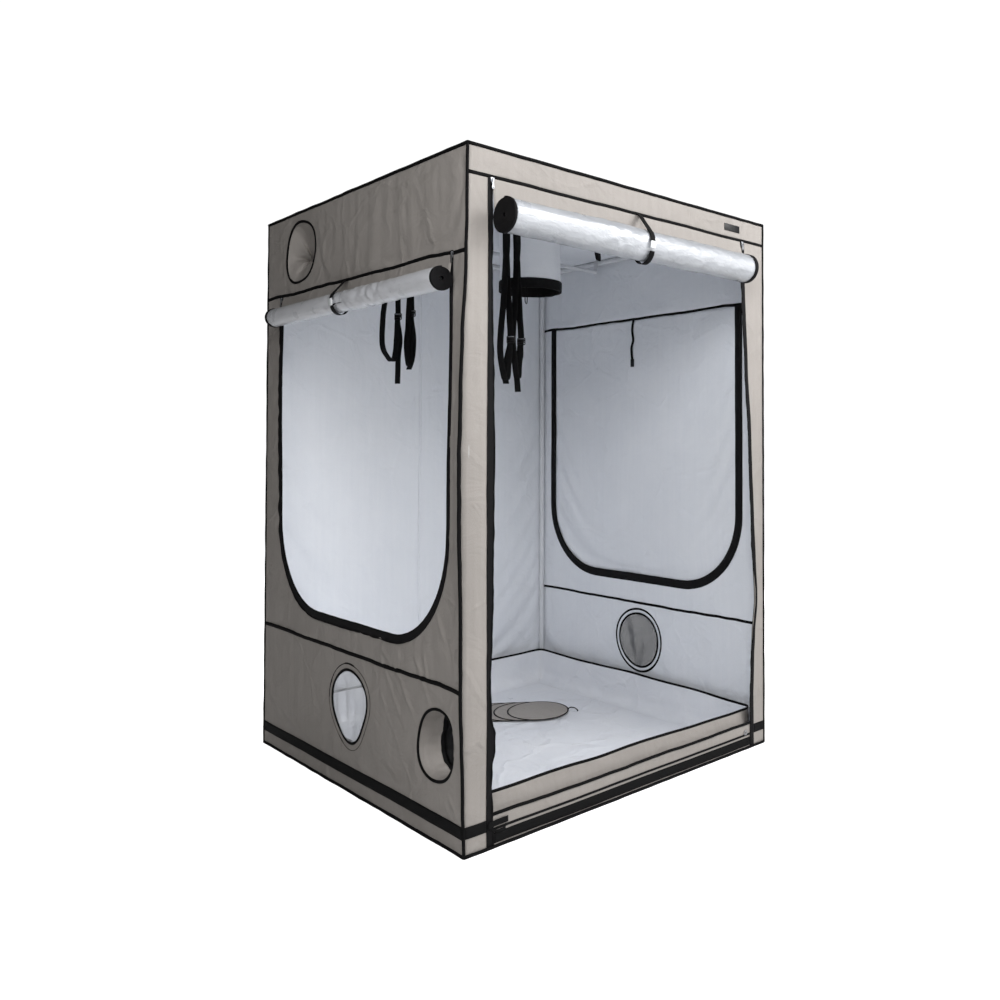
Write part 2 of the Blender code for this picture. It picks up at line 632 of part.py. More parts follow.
def make_covers():
    """Four round vent covers, fanned out on the tray floor."""
    stack = bpy.data.objects.new("vent_cover_stack", None)
    bpy.context.scene.collection.objects.link(stack)
    base = 2 * (FABRIC + SEAT_GAP)
    for level, name in enumerate(COVER_STACK):
        steps = len(COVER_STACK) - 1 - level
        disc = sheet(circle((0, 0), COVER_DIAMETER / 2, COVER_SIDES), thickness=COVER_THICKNESS)
        height = base + COVER_THICKNESS / 2 + level * (COVER_THICKNESS + SEAT_GAP)
        place = (TOP_COVER_X - steps * COVER_FAN_STEP, TOP_COVER_Y + steps * COVER_FAN_STEP, height)
        add(name, disc, "greige_fabric", place, parent=stack)


def spiral(diameter, core, drop):
    """A door sheet wound up: as many turns as its length needs between core and outside."""
    outside = diameter / 2 - FABRIC / 2
    inside = core / 2
    turns = drop / (pi * (outside + inside))
    count = ceil(turns * ROLL_STEPS_PER_TURN)
    points = []
    for step in range(count + 1):
        share = step / count
        turn = 2 * pi * turns * share
        radius = outside + (inside - outside) * share
        points.append((radius * cos(turn), radius * sin(turn)))
    return points


def curtain_path(wall, seam, roll_across, roll_up, diameter):
    """The stretch of door between its seam and the back of the roll, in the plane across the roll."""
    back = roll_across + diameter / 2 + SEAT_GAP + FABRIC / 2
    return [(wall, seam - SEAT_GAP), (back, roll_up)]


def make_front_door():
    """The rolled front door, with the stretch that still hangs from the header."""
    drop = HEADER_SEAM_Z - SILL_TOP_Z
    length = FRONT_ROLL_RIGHT_X - FRONT_ROLL_LEFT_X
    middle = (FRONT_ROLL_RIGHT_X + FRONT_ROLL_LEFT_X) / 2
    roll = ribbon(spiral(FRONT_ROLL_DIAMETER, FRONT_ROLL_CORE, drop), FABRIC, length)
    add("front_door_roll", smooth(roll), "white_lining", (middle, FRONT_ROLL_Y, FRONT_ROLL_Z), ALONG_X)
    left = front_zip_x("left", HEADER_SEAM_Z) + TAPE_WIDTH / 2 + CURTAIN_SIDE_GAP
    right = front_zip_x("right", HEADER_SEAM_Z) - TAPE_WIDTH / 2 - CURTAIN_SIDE_GAP
    path = curtain_path(-WALL_Y, HEADER_SEAM_Z, FRONT_ROLL_Y, FRONT_ROLL_Z, FRONT_ROLL_DIAMETER)
    curtain = ribbon(path, FABRIC, right - left)
    add("front_door_curtain", curtain, "greige_fabric", ((left + right) / 2, 0, 0), ALONG_X)


def make_left_door():
    """The rolled left door, with the stretch that still hangs from its seam."""
    drop = SIDE_SEAM_Z - SIDE_DOOR_BOTTOM_Z
    length = LEFT_ROLL_BACK_Y - LEFT_ROLL_FRONT_Y
    middle = (LEFT_ROLL_BACK_Y + LEFT_ROLL_FRONT_Y) / 2
    roll = ribbon(spiral(LEFT_ROLL_DIAMETER, LEFT_ROLL_CORE, drop), FABRIC, length)
    add("left_door_roll", smooth(roll), "white_lining", (LEFT_ROLL_X, middle, LEFT_ROLL_Z), ALONG_Y)
    path = curtain_path(-WALL_X, SIDE_SEAM_Z, LEFT_ROLL_X, LEFT_ROLL_Z, LEFT_ROLL_DIAMETER)
    width = 2 * (LEFT_DOOR_HALF_WIDTH - TAPE_WIDTH / 2 - CURTAIN_SIDE_GAP)
    curtain = ribbon(path, FABRIC, width)
    add("left_door_curtain", curtain, "greige_fabric", (0, LEFT_DOOR_CENTRE_Y, 0), ALONG_Y)


def make_right_door():
    """The closed right door, hinged at its seam. Its origin is on the seam."""
    inset = TAPE_WIDTH / 2 + SEAT_GAP
    outline = u_edge((0, RIGHT_DOOR_HALF_WIDTH), inset, SIDE_SEAM_Z - DOOR_HINGE_GAP)
    outline = [(across, up - SIDE_SEAM_Z) for across, up in outline]
    place = (WALL_X, RIGHT_DOOR_CENTRE_Y, SIDE_SEAM_Z)
    return add("right_door", sheet(outline), "greige_fabric", place, ON_RIGHT)


def wrap_path(pivot, roll, radius, far_side):
    """A strap's path from its seam pivot, round one side of the roll, to the roll's furthest point."""
    offset = Vector(pivot) - Vector(roll)
    distance = offset.length
    towards_pivot = atan2(offset.y, offset.x)
    tangent = towards_pivot + far_side * acos(radius / distance)
    end = towards_pivot + far_side * pi
    return [tuple(pivot), *arc(roll, radius, tangent, end, STRAP_STEPS)]


def roll_strap(wall, seam, roll, diameter, outer):
    """One half of a roll strap about its pivot, in the plane across the roll. The outer has the buckle."""
    side = -1 if outer else 1
    pivot = (wall + side * (FABRIC / 2 + SEAT_GAP + WEBBING / 2), seam)
    clearance = STRAP_OUTER_CLEARANCE if outer else STRAP_INNER_CLEARANCE
    radius = diameter / 2 + clearance + WEBBING / 2
    path = wrap_path(pivot, roll, radius, 1 if outer else -1)
    last = path.pop()
    if outer:
        path[-1] = last
        path.append((last[0], last[1] - STRAP_TAIL))
    local = [(across - pivot[0], up - pivot[1]) for across, up in path]
    band = ribbon(local, WEBBING, STRAP_WIDTH)
    if not outer:
        return band, pivot
    seat = radius + STRAP_BUCKLE_SIZE[1] / 2 - WEBBING / 2
    centre = (roll[0] - seat - pivot[0], roll[1] - pivot[1])
    long, thick, tall = STRAP_BUCKLE_SIZE
    buckle = moved(block((thick, tall, long), BUCKLE_BEVEL / 2), place=(*centre, 0))
    return union(band, buckle), pivot


def make_roll_straps():
    """The webbing straps that hold both rolls, each an outer and an inner half."""
    for outer, half in ((True, "outer"), (False, "inner")):
        roll = (FRONT_ROLL_Y, FRONT_ROLL_Z)
        band, pivot = roll_strap(-WALL_Y, HEADER_SEAM_Z, roll, FRONT_ROLL_DIAMETER, outer)
        add(f"front_strap_{half}", band, "black_webbing", (FRONT_STRAP_X, pivot[0], pivot[1]), ALONG_X)
        roll = (LEFT_ROLL_X, LEFT_ROLL_Z)
        band, pivot = roll_strap(-WALL_X, SIDE_SEAM_Z, roll, LEFT_ROLL_DIAMETER, outer)
        add(f"left_strap_{half}", band, "black_webbing", (pivot[0], LEFT_STRAP_Y, pivot[1]), ALONG_Y)


def hanging_strap(length):
    """A loose strap end with its buckle, hanging down from its pivot."""
    band = ribbon([(0, 0), (0, -length)], WEBBING, STRAP_WIDTH)
    long, thick, tall = STRAP_BUCKLE_SIZE
    buckle = moved(block((thick, tall, long), BUCKLE_BEVEL / 2), place=(0, -length, 0))
    return union(band, buckle)


def make_right_straps(door):
    """The right door's straps hang loose from its seam, one on each side of the door."""
    reach = FABRIC / 2 + SEAT_GAP + STRAP_BUCKLE_SIZE[1] / 2
    across = WALL_X - reach
    inner = hanging_strap(RIGHT_STRAP_LENGTH)
    add("right_strap_inner", inner, "black_webbing", (across, RIGHT_STRAP_Y, SIDE_SEAM_Z), ALONG_Y)
    outer = hanging_strap(RIGHT_OUTER_STRAP_LENGTH)
    place = (RIGHT_STRAP_Y - RIGHT_DOOR_CENTRE_Y, -DOOR_HINGE_GAP, reach)
    turn = Matrix.Rotation(pi / 2, 4, "Y")
    add("right_strap_outer", outer, "black_webbing", place, turn, parent=door)


def slider_mesh():
    """A zip slider: body, bridge and pull tab. It lies on the tape and points up. Origin on the tape."""
    half, tall = SLIDER_WIDTH / 2, SLIDER_LENGTH / 2
    neck, shoulder = half * SLIDER_NECK_SHARE, tall * SLIDER_NECK_SHARE
    right_half = [(neck, -tall), (half, shoulder), (half, tall)]
    outline = right_half + [(-across, up) for across, up in reversed(right_half)]
    body = sheet(outline, thickness=SLIDER_PLATE, lift=SLIDER_PLATE / 2)
    foot, crown = SLIDER_PLATE / 2, SLIDER_PLATE + BRIDGE_HEIGHT
    path = [(-shoulder, foot), (-shoulder / 2, crown), (shoulder, crown), (tall - foot, foot)]
    bridge = moved(ribbon(path, BRIDGE_THICKNESS, BRIDGE_WIDTH), ALONG_X)
    return union(body, bridge, tab_mesh(crown - BRIDGE_THICKNESS / 2))


def tab_mesh(lift):
    """A slider's pull tab: narrow at the bridge, round and holed at its free end."""
    tip, wide = (0, TAB_WIDTH - TAB_LENGTH), TAB_WIDTH / 2
    outline = arc((0, 0), wide * SLIDER_NECK_SHARE, pi, 0, TAB_ROUND_STEPS)
    outline += arc(tip, wide, 0, -pi, TAB_ROUND_STEPS)
    hole = circle(tip, TAB_HOLE_RADIUS, 2 * TAB_ROUND_STEPS)
    return sheet(outline, [hole], thickness=TAB_THICKNESS, lift=lift)


def make_sliders():
    """Six zip sliders: up at the seams on the open doors, together at the foot of the closed one."""
    drop = SLIDER_LENGTH / 2 + SLIDER_SEAM_GAP
    for side in ("left", "right"):
        height = HEADER_SEAM_Z - drop
        across = front_zip_x(side, height)
        lean = atan2(front_zip_x(side, SILL_TOP_Z) - across, height - SILL_TOP_Z)
        turn = ON_FRONT @ Matrix.Rotation(lean, 4, "Z")
        add(f"front_zip_slider_{side}", slider_mesh(), "zinc", (across, -WALL_Y - SLIDER_FACE, height), turn)
    for row, side_y in (("front", -1), ("back", 1)):
        along = LEFT_DOOR_CENTRE_Y + side_y * LEFT_DOOR_HALF_WIDTH
        place = (-WALL_X - SLIDER_FACE, along, SIDE_SEAM_Z - drop)
        add(f"left_zip_slider_{row}", slider_mesh(), "zinc", place, ON_LEFT)
        along = RIGHT_DOOR_CENTRE_Y + side_y * drop
        place = (WALL_X + SLIDER_FACE, along, SIDE_DOOR_BOTTOM_Z)
        turn = ON_RIGHT @ Matrix.Rotation(side_y * pi / 2, 4, "Z")
        add(f"right_zip_slider_{row}", slider_mesh(), "zinc", place, turn)


def sock(radius, length, band_width):
    """An open duct sleeve along +Z from its port, with a thick band at its far end."""
    inner = radius - FABRIC
    band = radius + SOCK_BAND_THICKNESS - FABRIC
    start = length - band_width
    profile = [(inner, 0), (radius, 0), (radius, start), (band, start), (band, length), (inner, length)]
    return smooth(revolved(profile, PORT_SIDES))


def closed_sock(radius):
    """A duct sleeve drawn shut by its cord: a collar and then a cone down to a small throat."""
    throat = UPPER_SOCK_THROAT / 2
    outer = [(radius, 0), (radius, UPPER_SOCK_COLLAR), (throat + FABRIC, UPPER_SOCK_DEPTH)]
    inner = [(throat, UPPER_SOCK_DEPTH), (radius - FABRIC, UPPER_SOCK_COLLAR), (radius - FABRIC, 0)]
    return smooth(revolved(outer + inner, PORT_SIDES))


def make_ports():
    """The three duct sleeves and the two mesh vents."""
    outside = FABRIC / 2
    inward = Matrix.Rotation(pi / 2, 4, "Y")
    upper = closed_sock(UPPER_PORT_DIAMETER / 2 - SEAT_GAP)
    add("upper_duct_sock", upper, "greige_fabric", (-WALL_X - outside, UPPER_PORT_Y, UPPER_PORT_Z), inward)
    lower = sock(LOWER_PORT_DIAMETER / 2 - SEAT_GAP, LOWER_SOCK_LENGTH, LOWER_SOCK_BAND_WIDTH)
    add("lower_duct_sock", lower, "greige_fabric", (-WALL_X - outside, LOWER_PORT_Y, LOWER_PORT_Z), inward)
    roof = sock(ROOF_PORT_DIAMETER / 2 - SEAT_GAP, ROOF_SOCK_LENGTH, SOCK_BAND_WIDTH)
    top = (ROOF_PORT_X, ROOF_PORT_Y, ROOF_Z + outside)
    add("roof_duct_sock", roof, "white_lining", top, Matrix.Rotation(pi, 4, "X"))
    window = circle((0, 0), VENT_DIAMETER / 2 - SEAT_GAP)
    for side, sign, along, turn in (("left", -1, LEFT_VENT_Y, ON_LEFT), ("right", 1, RIGHT_VENT_Y, ON_RIGHT)):
        place = (sign * WALL_X, along, VENT_Z)
        add(f"{side}_vent_mesh", sheet(window, thickness=MESH_THICKNESS), "vent_mesh", place, turn)


def main():
    clear_scene()
    make_frame()
    make_shell()
    make_piping()
    make_hanging_gear()
    make_tray()
    make_covers()
    make_front_door()
    make_left_door()
    door = make_right_door()
    make_roll_straps()
    make_right_straps(door)
    make_sliders()
    make_ports()


main()
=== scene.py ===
# %% [markdown]
# # An indoor grow tent
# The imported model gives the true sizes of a 1.5 x 1.5 x 2.2 m tent: a steel tube frame in a cloth cover.
# This lesson dresses it. Rigid pieces keep their own shape and get a finish; every piece of cloth, tape and
# webbing is sewn again here as a thin, creased surface, which takes the place of its plain solid.
# Everything is in metres. The origin is on the ground below the middle, the doorway faces -Y, +Z is up.

# %% Load the frame
from math import cos, pi, radians, sin

import bmesh
import bpy
from mathutils import Matrix, Vector, kdtree, noise


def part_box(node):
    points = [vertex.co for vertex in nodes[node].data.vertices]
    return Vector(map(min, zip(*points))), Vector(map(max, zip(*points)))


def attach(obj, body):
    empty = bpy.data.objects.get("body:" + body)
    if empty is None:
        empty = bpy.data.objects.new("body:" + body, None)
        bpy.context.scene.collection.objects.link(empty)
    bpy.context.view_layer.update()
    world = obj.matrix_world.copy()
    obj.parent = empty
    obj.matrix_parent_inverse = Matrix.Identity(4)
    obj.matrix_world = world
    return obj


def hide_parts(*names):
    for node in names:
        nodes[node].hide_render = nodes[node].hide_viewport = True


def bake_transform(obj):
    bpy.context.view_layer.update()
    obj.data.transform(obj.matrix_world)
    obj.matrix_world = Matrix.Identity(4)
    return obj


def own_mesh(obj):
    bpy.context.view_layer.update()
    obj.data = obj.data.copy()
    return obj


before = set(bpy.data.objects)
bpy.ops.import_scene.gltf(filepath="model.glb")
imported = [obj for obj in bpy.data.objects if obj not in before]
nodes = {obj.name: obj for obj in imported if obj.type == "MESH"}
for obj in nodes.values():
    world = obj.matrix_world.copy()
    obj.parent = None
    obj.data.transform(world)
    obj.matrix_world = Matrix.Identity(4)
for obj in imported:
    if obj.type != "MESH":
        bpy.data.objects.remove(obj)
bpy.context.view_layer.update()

NOISE_SEED = 161  # without a seed, noise vectors differ from run to run, and so would every sewn line
noise.seed_set(NOISE_SEED)

# %% [markdown]
# ## Camera
# A product photograph of something this tall is taken from its own mid height, with the camera almost level, so
# that the uprights stay almost parallel. Sliding the sensor (shift) frames the tent without tilting the camera.

# %% Camera
camera = bpy.data.objects.new("camera", bpy.data.cameras.new("camera"))
camera.data.lens = 31.894
camera.data.shift_x = -0.1416
camera.data.shift_y = -0.0771
camera.location = (-2.2874, -3.0416, 1.2629)
camera.rotation_euler = (radians(91.33), 0, radians(-45.07))
bpy.context.scene.collection.objects.link(camera)
bpy.context.scene.camera = camera
print("camera looks along", [round(value, 2) for value in camera.rotation_euler])

# %% [markdown]
# ## Colour and nodes
# Colours are picked as screen values, so one function turns them into the linear values that nodes expect.
# One more function adds any shader node: sockets are filled or linked by name or number, settings by keyword.
# A colour that changes over a surface is a Mix node between two colours, whose factor is a pattern.


# %% Colour and node helpers
def colour(code):
    """An sRGB hex colour as linear red, green, blue and alpha."""
    values = [int(code[start:start + 2], 16) / 255 for start in (1, 3, 5)]
    return [v / 12.92 if v <= 0.04045 else ((v + 0.055) / 1.055) ** 2.4 for v in values] + [1]


def add_node(tree, kind, sockets, **settings):
    """Add a shader node, give it its settings, and fill or link its sockets."""
    node = tree.nodes.new("ShaderNode" + kind)
    for name, value in settings.items():
        setattr(node, name, value)
    for name, value in sockets.items():
        if isinstance(value, bpy.types.NodeSocket):
            tree.links.new(value, node.inputs[name])
        else:
            node.inputs[name].default_value = value
    return node


def start_material(name):
    """An empty node material and its tree."""
    material = bpy.data.materials.new(name)
    material.use_nodes = True
    material.node_tree.nodes.clear()
    return material, material.node_tree


def finish_material(tree, base, rough, height, depth, **constants):
    """A Principled surface with a bump of the given depth in metres. Constants go straight on its sockets."""
    normal = add_node(tree, "Bump", {"Height": height, "Distance": depth}).outputs["Normal"]
    sockets = {"Base Color": base, "Roughness": rough, "Normal": normal}
    sockets.update({name.replace("_", " "): value for name, value in constants.items()})
    shader = add_node(tree, "BsdfPrincipled", sockets)
    add_node(tree, "OutputMaterial", {"Surface": shader.outputs["BSDF"]})


print("white is", colour("#FFFFFF"))

# %% [markdown]
# ## Cloth finishes
# The cover is polyester Oxford cloth: a plain weave with a clear coating outside and a white reflective lining
# inside. Its threads are about 0.5 mm apart, which is far below a pixel here, so they are drawn 2.5 mm apart
# and faint. Slow clouds show where the coating took more or less, and long streaks follow the warp. Handling
# leaves soft dents about 100 mm wide, and packing leaves thin straight creases some 300 mm apart. Both are too
# low to change the outline, so they are in the bump.
# The patterns read the cloth's own UV map, in metres, so that they bend with every fold.


# %% Oxford cloth, lining and vinyl
WAVES = {"wave_type": "BANDS", "wave_profile": "SIN"}
BAND_LENGTH = 2 * pi / 20  # a band texture of scale 1 has one ridge in this many metres


def woven_cloth(name, dark, light, rough, spacing, depth, crumpled, cloudy, streaky, **constants):
    """A coated plain weave. Depth and crumpled are the heights of its threads and of its soft dents in metres."""
    material, tree = start_material(name)
    place = add_node(tree, "UVMap", {}, uv_map="cloth").outputs["UV"]
    scale = BAND_LENGTH / spacing  # one ridge for each thread
    warp = add_node(tree, "TexWave", {"Vector": place, "Scale": scale}, bands_direction="X", **WAVES)
    weft = add_node(tree, "TexWave", {"Vector": place, "Scale": scale}, bands_direction="Y", **WAVES)
    weave = add_node(tree, "Math", {0: warp.outputs["Fac"], 1: weft.outputs["Fac"]}, operation="MULTIPLY").outputs[0]
    clouds = add_node(tree, "TexNoise", {"Vector": place, "Scale": 3.0, "Detail": 6.0, "Roughness": 0.6})
    slubs = add_node(tree, "TexNoise", {"Vector": place, "Scale": 240.0, "Detail": 2.0})
    long_way = add_node(tree, "Mapping", {"Vector": place, "Scale": (60.0, 2.5, 1.0)}).outputs["Vector"]
    streaks = add_node(tree, "TexNoise", {"Vector": long_way, "Scale": 1.0, "Detail": 4.0})
    tone = add_node(tree, "Mix", {0: cloudy, 2: weave, 3: clouds.outputs["Fac"]}).outputs[0]
    tone = add_node(tree, "Mix", {0: streaky, 2: tone, 3: streaks.outputs["Fac"]}).outputs[0]
    tone = add_node(tree, "Mix", {0: 0.18, 2: tone, 3: slubs.outputs["Fac"]}).outputs[0]
    share = add_node(tree, "MapRange", {0: tone, 1: 0.25, 2: 0.75}).outputs[0]
    base = add_node(tree, "Mix", {0: share, 6: colour(dark), 7: colour(light)}, data_type="RGBA").outputs[2]
    gloss = add_node(tree, "MapRange", {0: clouds.outputs["Fac"], 3: rough - 0.08, 4: rough + 0.08}).outputs[0]
    threads = add_node(tree, "Mix", {0: 0.35, 2: weave, 3: slubs.outputs["Fac"]}).outputs[0]
    threads = add_node(tree, "Math", {0: threads, 1: depth}, operation="MULTIPLY").outputs[0]
    crumple = add_node(tree, "TexNoise", {"Vector": place, "Scale": 9.0, "Detail": 3.0, "Distortion": 0.8})
    height = add_node(tree, "Math", {0: crumple.outputs["Fac"], 1: crumpled, 2: threads},
                      operation="MULTIPLY_ADD").outputs[0]
    bent = add_node(tree, "Mix", {0: 0.06, 6: place, 7: crumple.outputs["Color"]}, data_type="RGBA").outputs[2]
    packed = add_node(tree, "TexVoronoi", {"Vector": bent, "Scale": 3.4}, feature="DISTANCE_TO_EDGE")
    ridge = add_node(tree, "MapRange", {0: packed.outputs["Distance"], 1: 0.0, 2: 0.045, 3: 1.0, 4: 0.0}).outputs[0]
    ridge = add_node(tree, "Math", {0: ridge, 1: crumple.outputs["Fac"]}, operation="MULTIPLY").outputs[0]
    height = add_node(tree, "Math", {0: ridge, 1: 0.35 * crumpled, 2: height}, operation="MULTIPLY_ADD").outputs[0]
    finish_material(tree, base, gloss, height, 1.0, **constants)
    return material


oxford_cloth = woven_cloth("greige_oxford_cloth", "#948F8A", "#AEA8A4", 0.68, 0.0025, 0.0004, 0.0085, 0.5, 0.25,
                           Specular_IOR_Level=0.35)
lining = woven_cloth("white_reflective_lining", "#E2E6ED", "#F4F6FA", 0.42, 0.0025, 0.0002, 0.0070, 0.6, 0.25,
                     Coat_Weight=0.1, Coat_Roughness=0.3)
tray_vinyl = woven_cloth("white_tray_vinyl", "#E0E3EA", "#F4F5F8", 0.30, 0.004, 0.0001, 0.0120, 0.8, 0.10,
                         Coat_Weight=0.25, Coat_Roughness=0.15)
print("cloth finishes", oxford_cloth.name, lining.name, tray_vinyl.name)

# %% [markdown]
# ## The glossy side of a rolled door
# Rolled up with its lining outwards, the cloth is bent tight, and its coating shows fine crinkles that break
# every highlight into sparks. They are 20 to 40 mm long, so a stretched noise in the bump draws them.


# %% Crinkled lining
def crinkled_lining(name, dark, light):
    """Wound lining: fine crinkles, mostly along the roll, under a glossy film."""
    material, tree = start_material(name)
    place = add_node(tree, "UVMap", {}, uv_map="cloth").outputs["UV"]
    along = add_node(tree, "Mapping", {"Vector": place, "Scale": (60.0, 22.0, 1.0)}).outputs["Vector"]
    crinkles = add_node(tree, "TexNoise", {"Vector": along, "Scale": 1.0, "Detail": 3.0, "Distortion": 1.2})
    clouds = add_node(tree, "TexNoise", {"Vector": place, "Scale": 9.0, "Detail": 4.0})
    base = add_node(tree, "Mix", {0: clouds.outputs["Fac"], 6: colour(dark), 7: colour(light)},
                    data_type="RGBA").outputs[2]
    gloss = add_node(tree, "MapRange", {0: clouds.outputs["Fac"], 3: 0.22, 4: 0.36}).outputs[0]
    finish_material(tree, base, gloss, crinkles.outputs["Fac"], 0.0030, Coat_Weight=0.8, Coat_Roughness=0.10)
    return material


# The front door's roll gets a greyer copy of the same lining than the left door's: painted shade, which tones down
# the full light that falls on it
rolled_linings = {"front": crinkled_lining("crinkled_front_lining_painted_shade", "#A3A6AC", "#B7BABF"),
                  "left": crinkled_lining("crinkled_left_lining", "#D0D2D7", "#E2E3E7")}
print("rolled finishes", len(rolled_linings))

# %% [markdown]
# ## Black narrow fabrics
# Piping, zip tape and webbing are black nylon, ribbed across their length. The ribs are about 1 mm apart on
# the real tape and are drawn 3 mm apart. Dyed nylon this dark gives back about one part in a hundred of the
# light, so its specular level is low too: otherwise the white room turns it grey.


# %% Binding, zip tape and webbing
def ribbed_tape(name, dark, light, spacing, depth, rough):
    """Ribbed narrow fabric: ribs across its length and the rows of threads that run along it."""
    material, tree = start_material(name)
    place = add_node(tree, "UVMap", {}, uv_map="cloth").outputs["UV"]
    scale = BAND_LENGTH / spacing
    ribs = add_node(tree, "TexWave", {"Vector": place, "Scale": scale}, bands_direction="X", **WAVES)
    rows = add_node(tree, "TexWave", {"Vector": place, "Scale": scale / 1.5}, bands_direction="Y", **WAVES)
    lint = add_node(tree, "TexNoise", {"Vector": place, "Scale": 90.0, "Detail": 4.0}).outputs["Fac"]
    height = add_node(tree, "Mix", {0: 0.35, 2: ribs.outputs["Fac"], 3: rows.outputs["Fac"]}).outputs[0]
    tone = add_node(tree, "Mix", {0: 0.5, 2: height, 3: lint}).outputs[0]
    base = add_node(tree, "Mix", {0: tone, 6: colour(dark), 7: colour(light)}, data_type="RGBA").outputs[2]
    finish_material(tree, base, rough, height, depth, Specular_IOR_Level=0.12)
    return material


binding = ribbed_tape("black_nylon_binding", "#050506", "#101011", 0.003, 0.0004, 0.75)
zip_tape = ribbed_tape("black_zip_tape", "#070708", "#1A191B", 0.003, 0.0003, 0.65)
webbing = ribbed_tape("black_polyester_webbing", "#070708", "#161617", 0.004, 0.0006, 0.68)
print("narrow fabrics", binding.name, zip_tape.name, webbing.name)

# %% [markdown]
# ## Metals, plastics and thread
# The tubes are steel with a white powder coat, which dries with a faint orange-peel skin. Sliders are cast
# zinc with a bright plating. Buckles are acetal, one kind black and one kind clear. All of these are solid
# shapes, so their patterns read Object coordinates.


# %% Powder coat, zinc, acetal and net thread
def moulded(name, dark, light, rough, grain, depth, **constants):
    """A hard surface with a fine skin: grain is the width of one grain in metres."""
    material, tree = start_material(name)
    place = add_node(tree, "TexCoord", {}).outputs["Object"]
    skin = add_node(tree, "TexNoise", {"Vector": place, "Scale": 1 / grain, "Detail": 3.0}).outputs["Fac"]
    wear = add_node(tree, "TexNoise", {"Vector": place, "Scale": 9.0, "Detail": 5.0}).outputs["Fac"]
    share = add_node(tree, "MapRange", {0: wear, 1: 0.3, 2: 0.7}).outputs[0]
    base = add_node(tree, "Mix", {0: share, 6: colour(dark), 7: colour(light)}, data_type="RGBA").outputs[2]
    gloss = add_node(tree, "MapRange", {0: wear, 3: rough - 0.06, 4: rough + 0.06}).outputs[0]
    finish_material(tree, base, gloss, skin, depth, **constants)
    return material


powder_coat = moulded("white_powder_coat", "#D2D5DA", "#E2E4E8", 0.45, 0.004, 0.0001)
cast_zinc = moulded("plated_cast_zinc", "#8B8D91", "#B4B6B9", 0.30, 0.003, 0.00005, Metallic=1.0)
black_acetal = moulded("black_acetal", "#0A0A0B", "#151516", 0.40, 0.003, 0.00005, Specular_IOR_Level=0.3)
clear_acetal = moulded("clear_acetal", "#D4D7D9", "#EDEFF0", 0.18, 0.003, 0.00005, Coat_Weight=0.5)
# The two vent nets are one polyester net. The left copy is lighter, as painted light for the bright tent seen through
# it. The right copy is darker, as painted shade for the dim view through it from inside.
net_with_painted_light = moulded("polyester_net_painted_light", "#B4B6BB", "#CCCED2", 0.60, 0.003, 0.00005)
net_with_painted_shade = moulded("dense_polyester_net_painted_shade", "#5E5F63", "#77787B", 0.65, 0.003, 0.00005)
print("hard finishes", powder_coat.name, cast_zinc.name, black_acetal.name, clear_acetal.name)

# %% [markdown]
# ## Lines on the cutting table
# Flat cloth is drawn as if it lay on the cutting table: X across, Y up. A cutting line is a list of points
# there. Nobody cuts or sews a perfectly straight line two metres long, so lines wander by a few millimetres,
# and a hand-cut round opening is a circle whose radius sways a little.


# %% Cutting lines
def measured(path):
    """How far along the path each of its points lies."""
    total, lengths = 0.0, [0.0]
    for first, second in zip(path, path[1:]):
        total += (second - first).length
        lengths.append(total)
    return lengths


def even_steps(path, spacing):
    """The same path with points at an even spacing."""
    lengths = measured(path)
    count = max(1, round(lengths[-1] / spacing))
    points, leg = [], 0
    for step in range(count + 1):
        reach = lengths[-1] * step / count
        while leg < len(path) - 2 and lengths[leg + 1] < reach:
            leg += 1
        span = max(lengths[leg + 1] - lengths[leg], 1e-9)
        points.append(path[leg].lerp(path[leg + 1], (reach - lengths[leg]) / span))
    return points


def wander(path, seed, depth=0.0025):
    """Let a sewn line drift sideways by up to about the depth, in slow swings and a few short ones."""
    moved = []
    for point in path:
        slow = noise.noise_vector(point.to_3d() / 0.30 + Vector((seed, 0, 0)))
        short = noise.noise_vector(point.to_3d() / 0.06 + Vector((seed, 5, 0)))
        moved.append(point + (slow * 1.6 + short * 0.4).xy * depth)
    return moved


def sway_at(turn, sway):
    """How far a swaying radius is from its mean, as a factor. Sway holds a cosine and a sine share per wave."""
    return 1 + sum(a * cos((wave + 1) * turn) + b * sin((wave + 1) * turn) for wave, (a, b) in enumerate(sway))


def round_edge(across, up, radius, sway=(), steps=96):
    """A round cutting line, true or hand-cut."""
    turns = [2 * pi * step / steps for step in range(steps)]
    reach = [radius * sway_at(turn, sway) for turn in turns]
    return [Vector((across + r * cos(turn), up + r * sin(turn))) for r, turn in zip(reach, turns)]


def u_edge(middle, half, foot, top, radius, steps=14):
    """A U: down one leg, round two bottom corners and up the other leg."""
    right = [Vector((half, top))]
    for step in range(steps + 1):
        turn = -pi / 2 * step / steps
        right.append(Vector((half - radius + radius * cos(turn), foot + radius + radius * sin(turn))))
    left = [Vector((-point.x, point.y)) for point in reversed(right)]
    return [Vector((middle + point.x, point.y)) for point in right + left]


def sides_of(edge):
    """The straight pieces of a closed cutting line, each as its two ends."""
    return zip(edge, edge[1:] + edge[:1])


def area_of(edge):
    """The area inside a closed cutting line."""
    return abs(sum(first.x * second.y - second.x * first.y for first, second in sides_of(edge))) / 2


def beside(first, second, point):
    """The place on a straight line that is nearest to a point, and that place's share of the line's length."""
    along = second - first
    share = max(0.0, min(1.0, (point - first).dot(along) / max(along.length_squared, 1e-12)))
    return first + along * share, share


def nearest_on(edge, point):
    """The nearest place on a closed cutting line, and how far away it is."""
    best, best_distance = None, 1e9
    for first, second in sides_of(edge):
        place = beside(first, second, point)[0]
        distance = (place - point).length
        if distance < best_distance:
            best, best_distance = place, distance
    return best, best_distance


def distance_tree(edges):
    """A search tree over the points of some cutting lines: it finds the nearest one at once."""
    points = [point.to_3d() for edge in edges for point in edge]
    tree = kdtree.KDTree(len(points))
    for number, point in enumerate(points):
        tree.insert(point, number)
    tree.balance()
    return tree


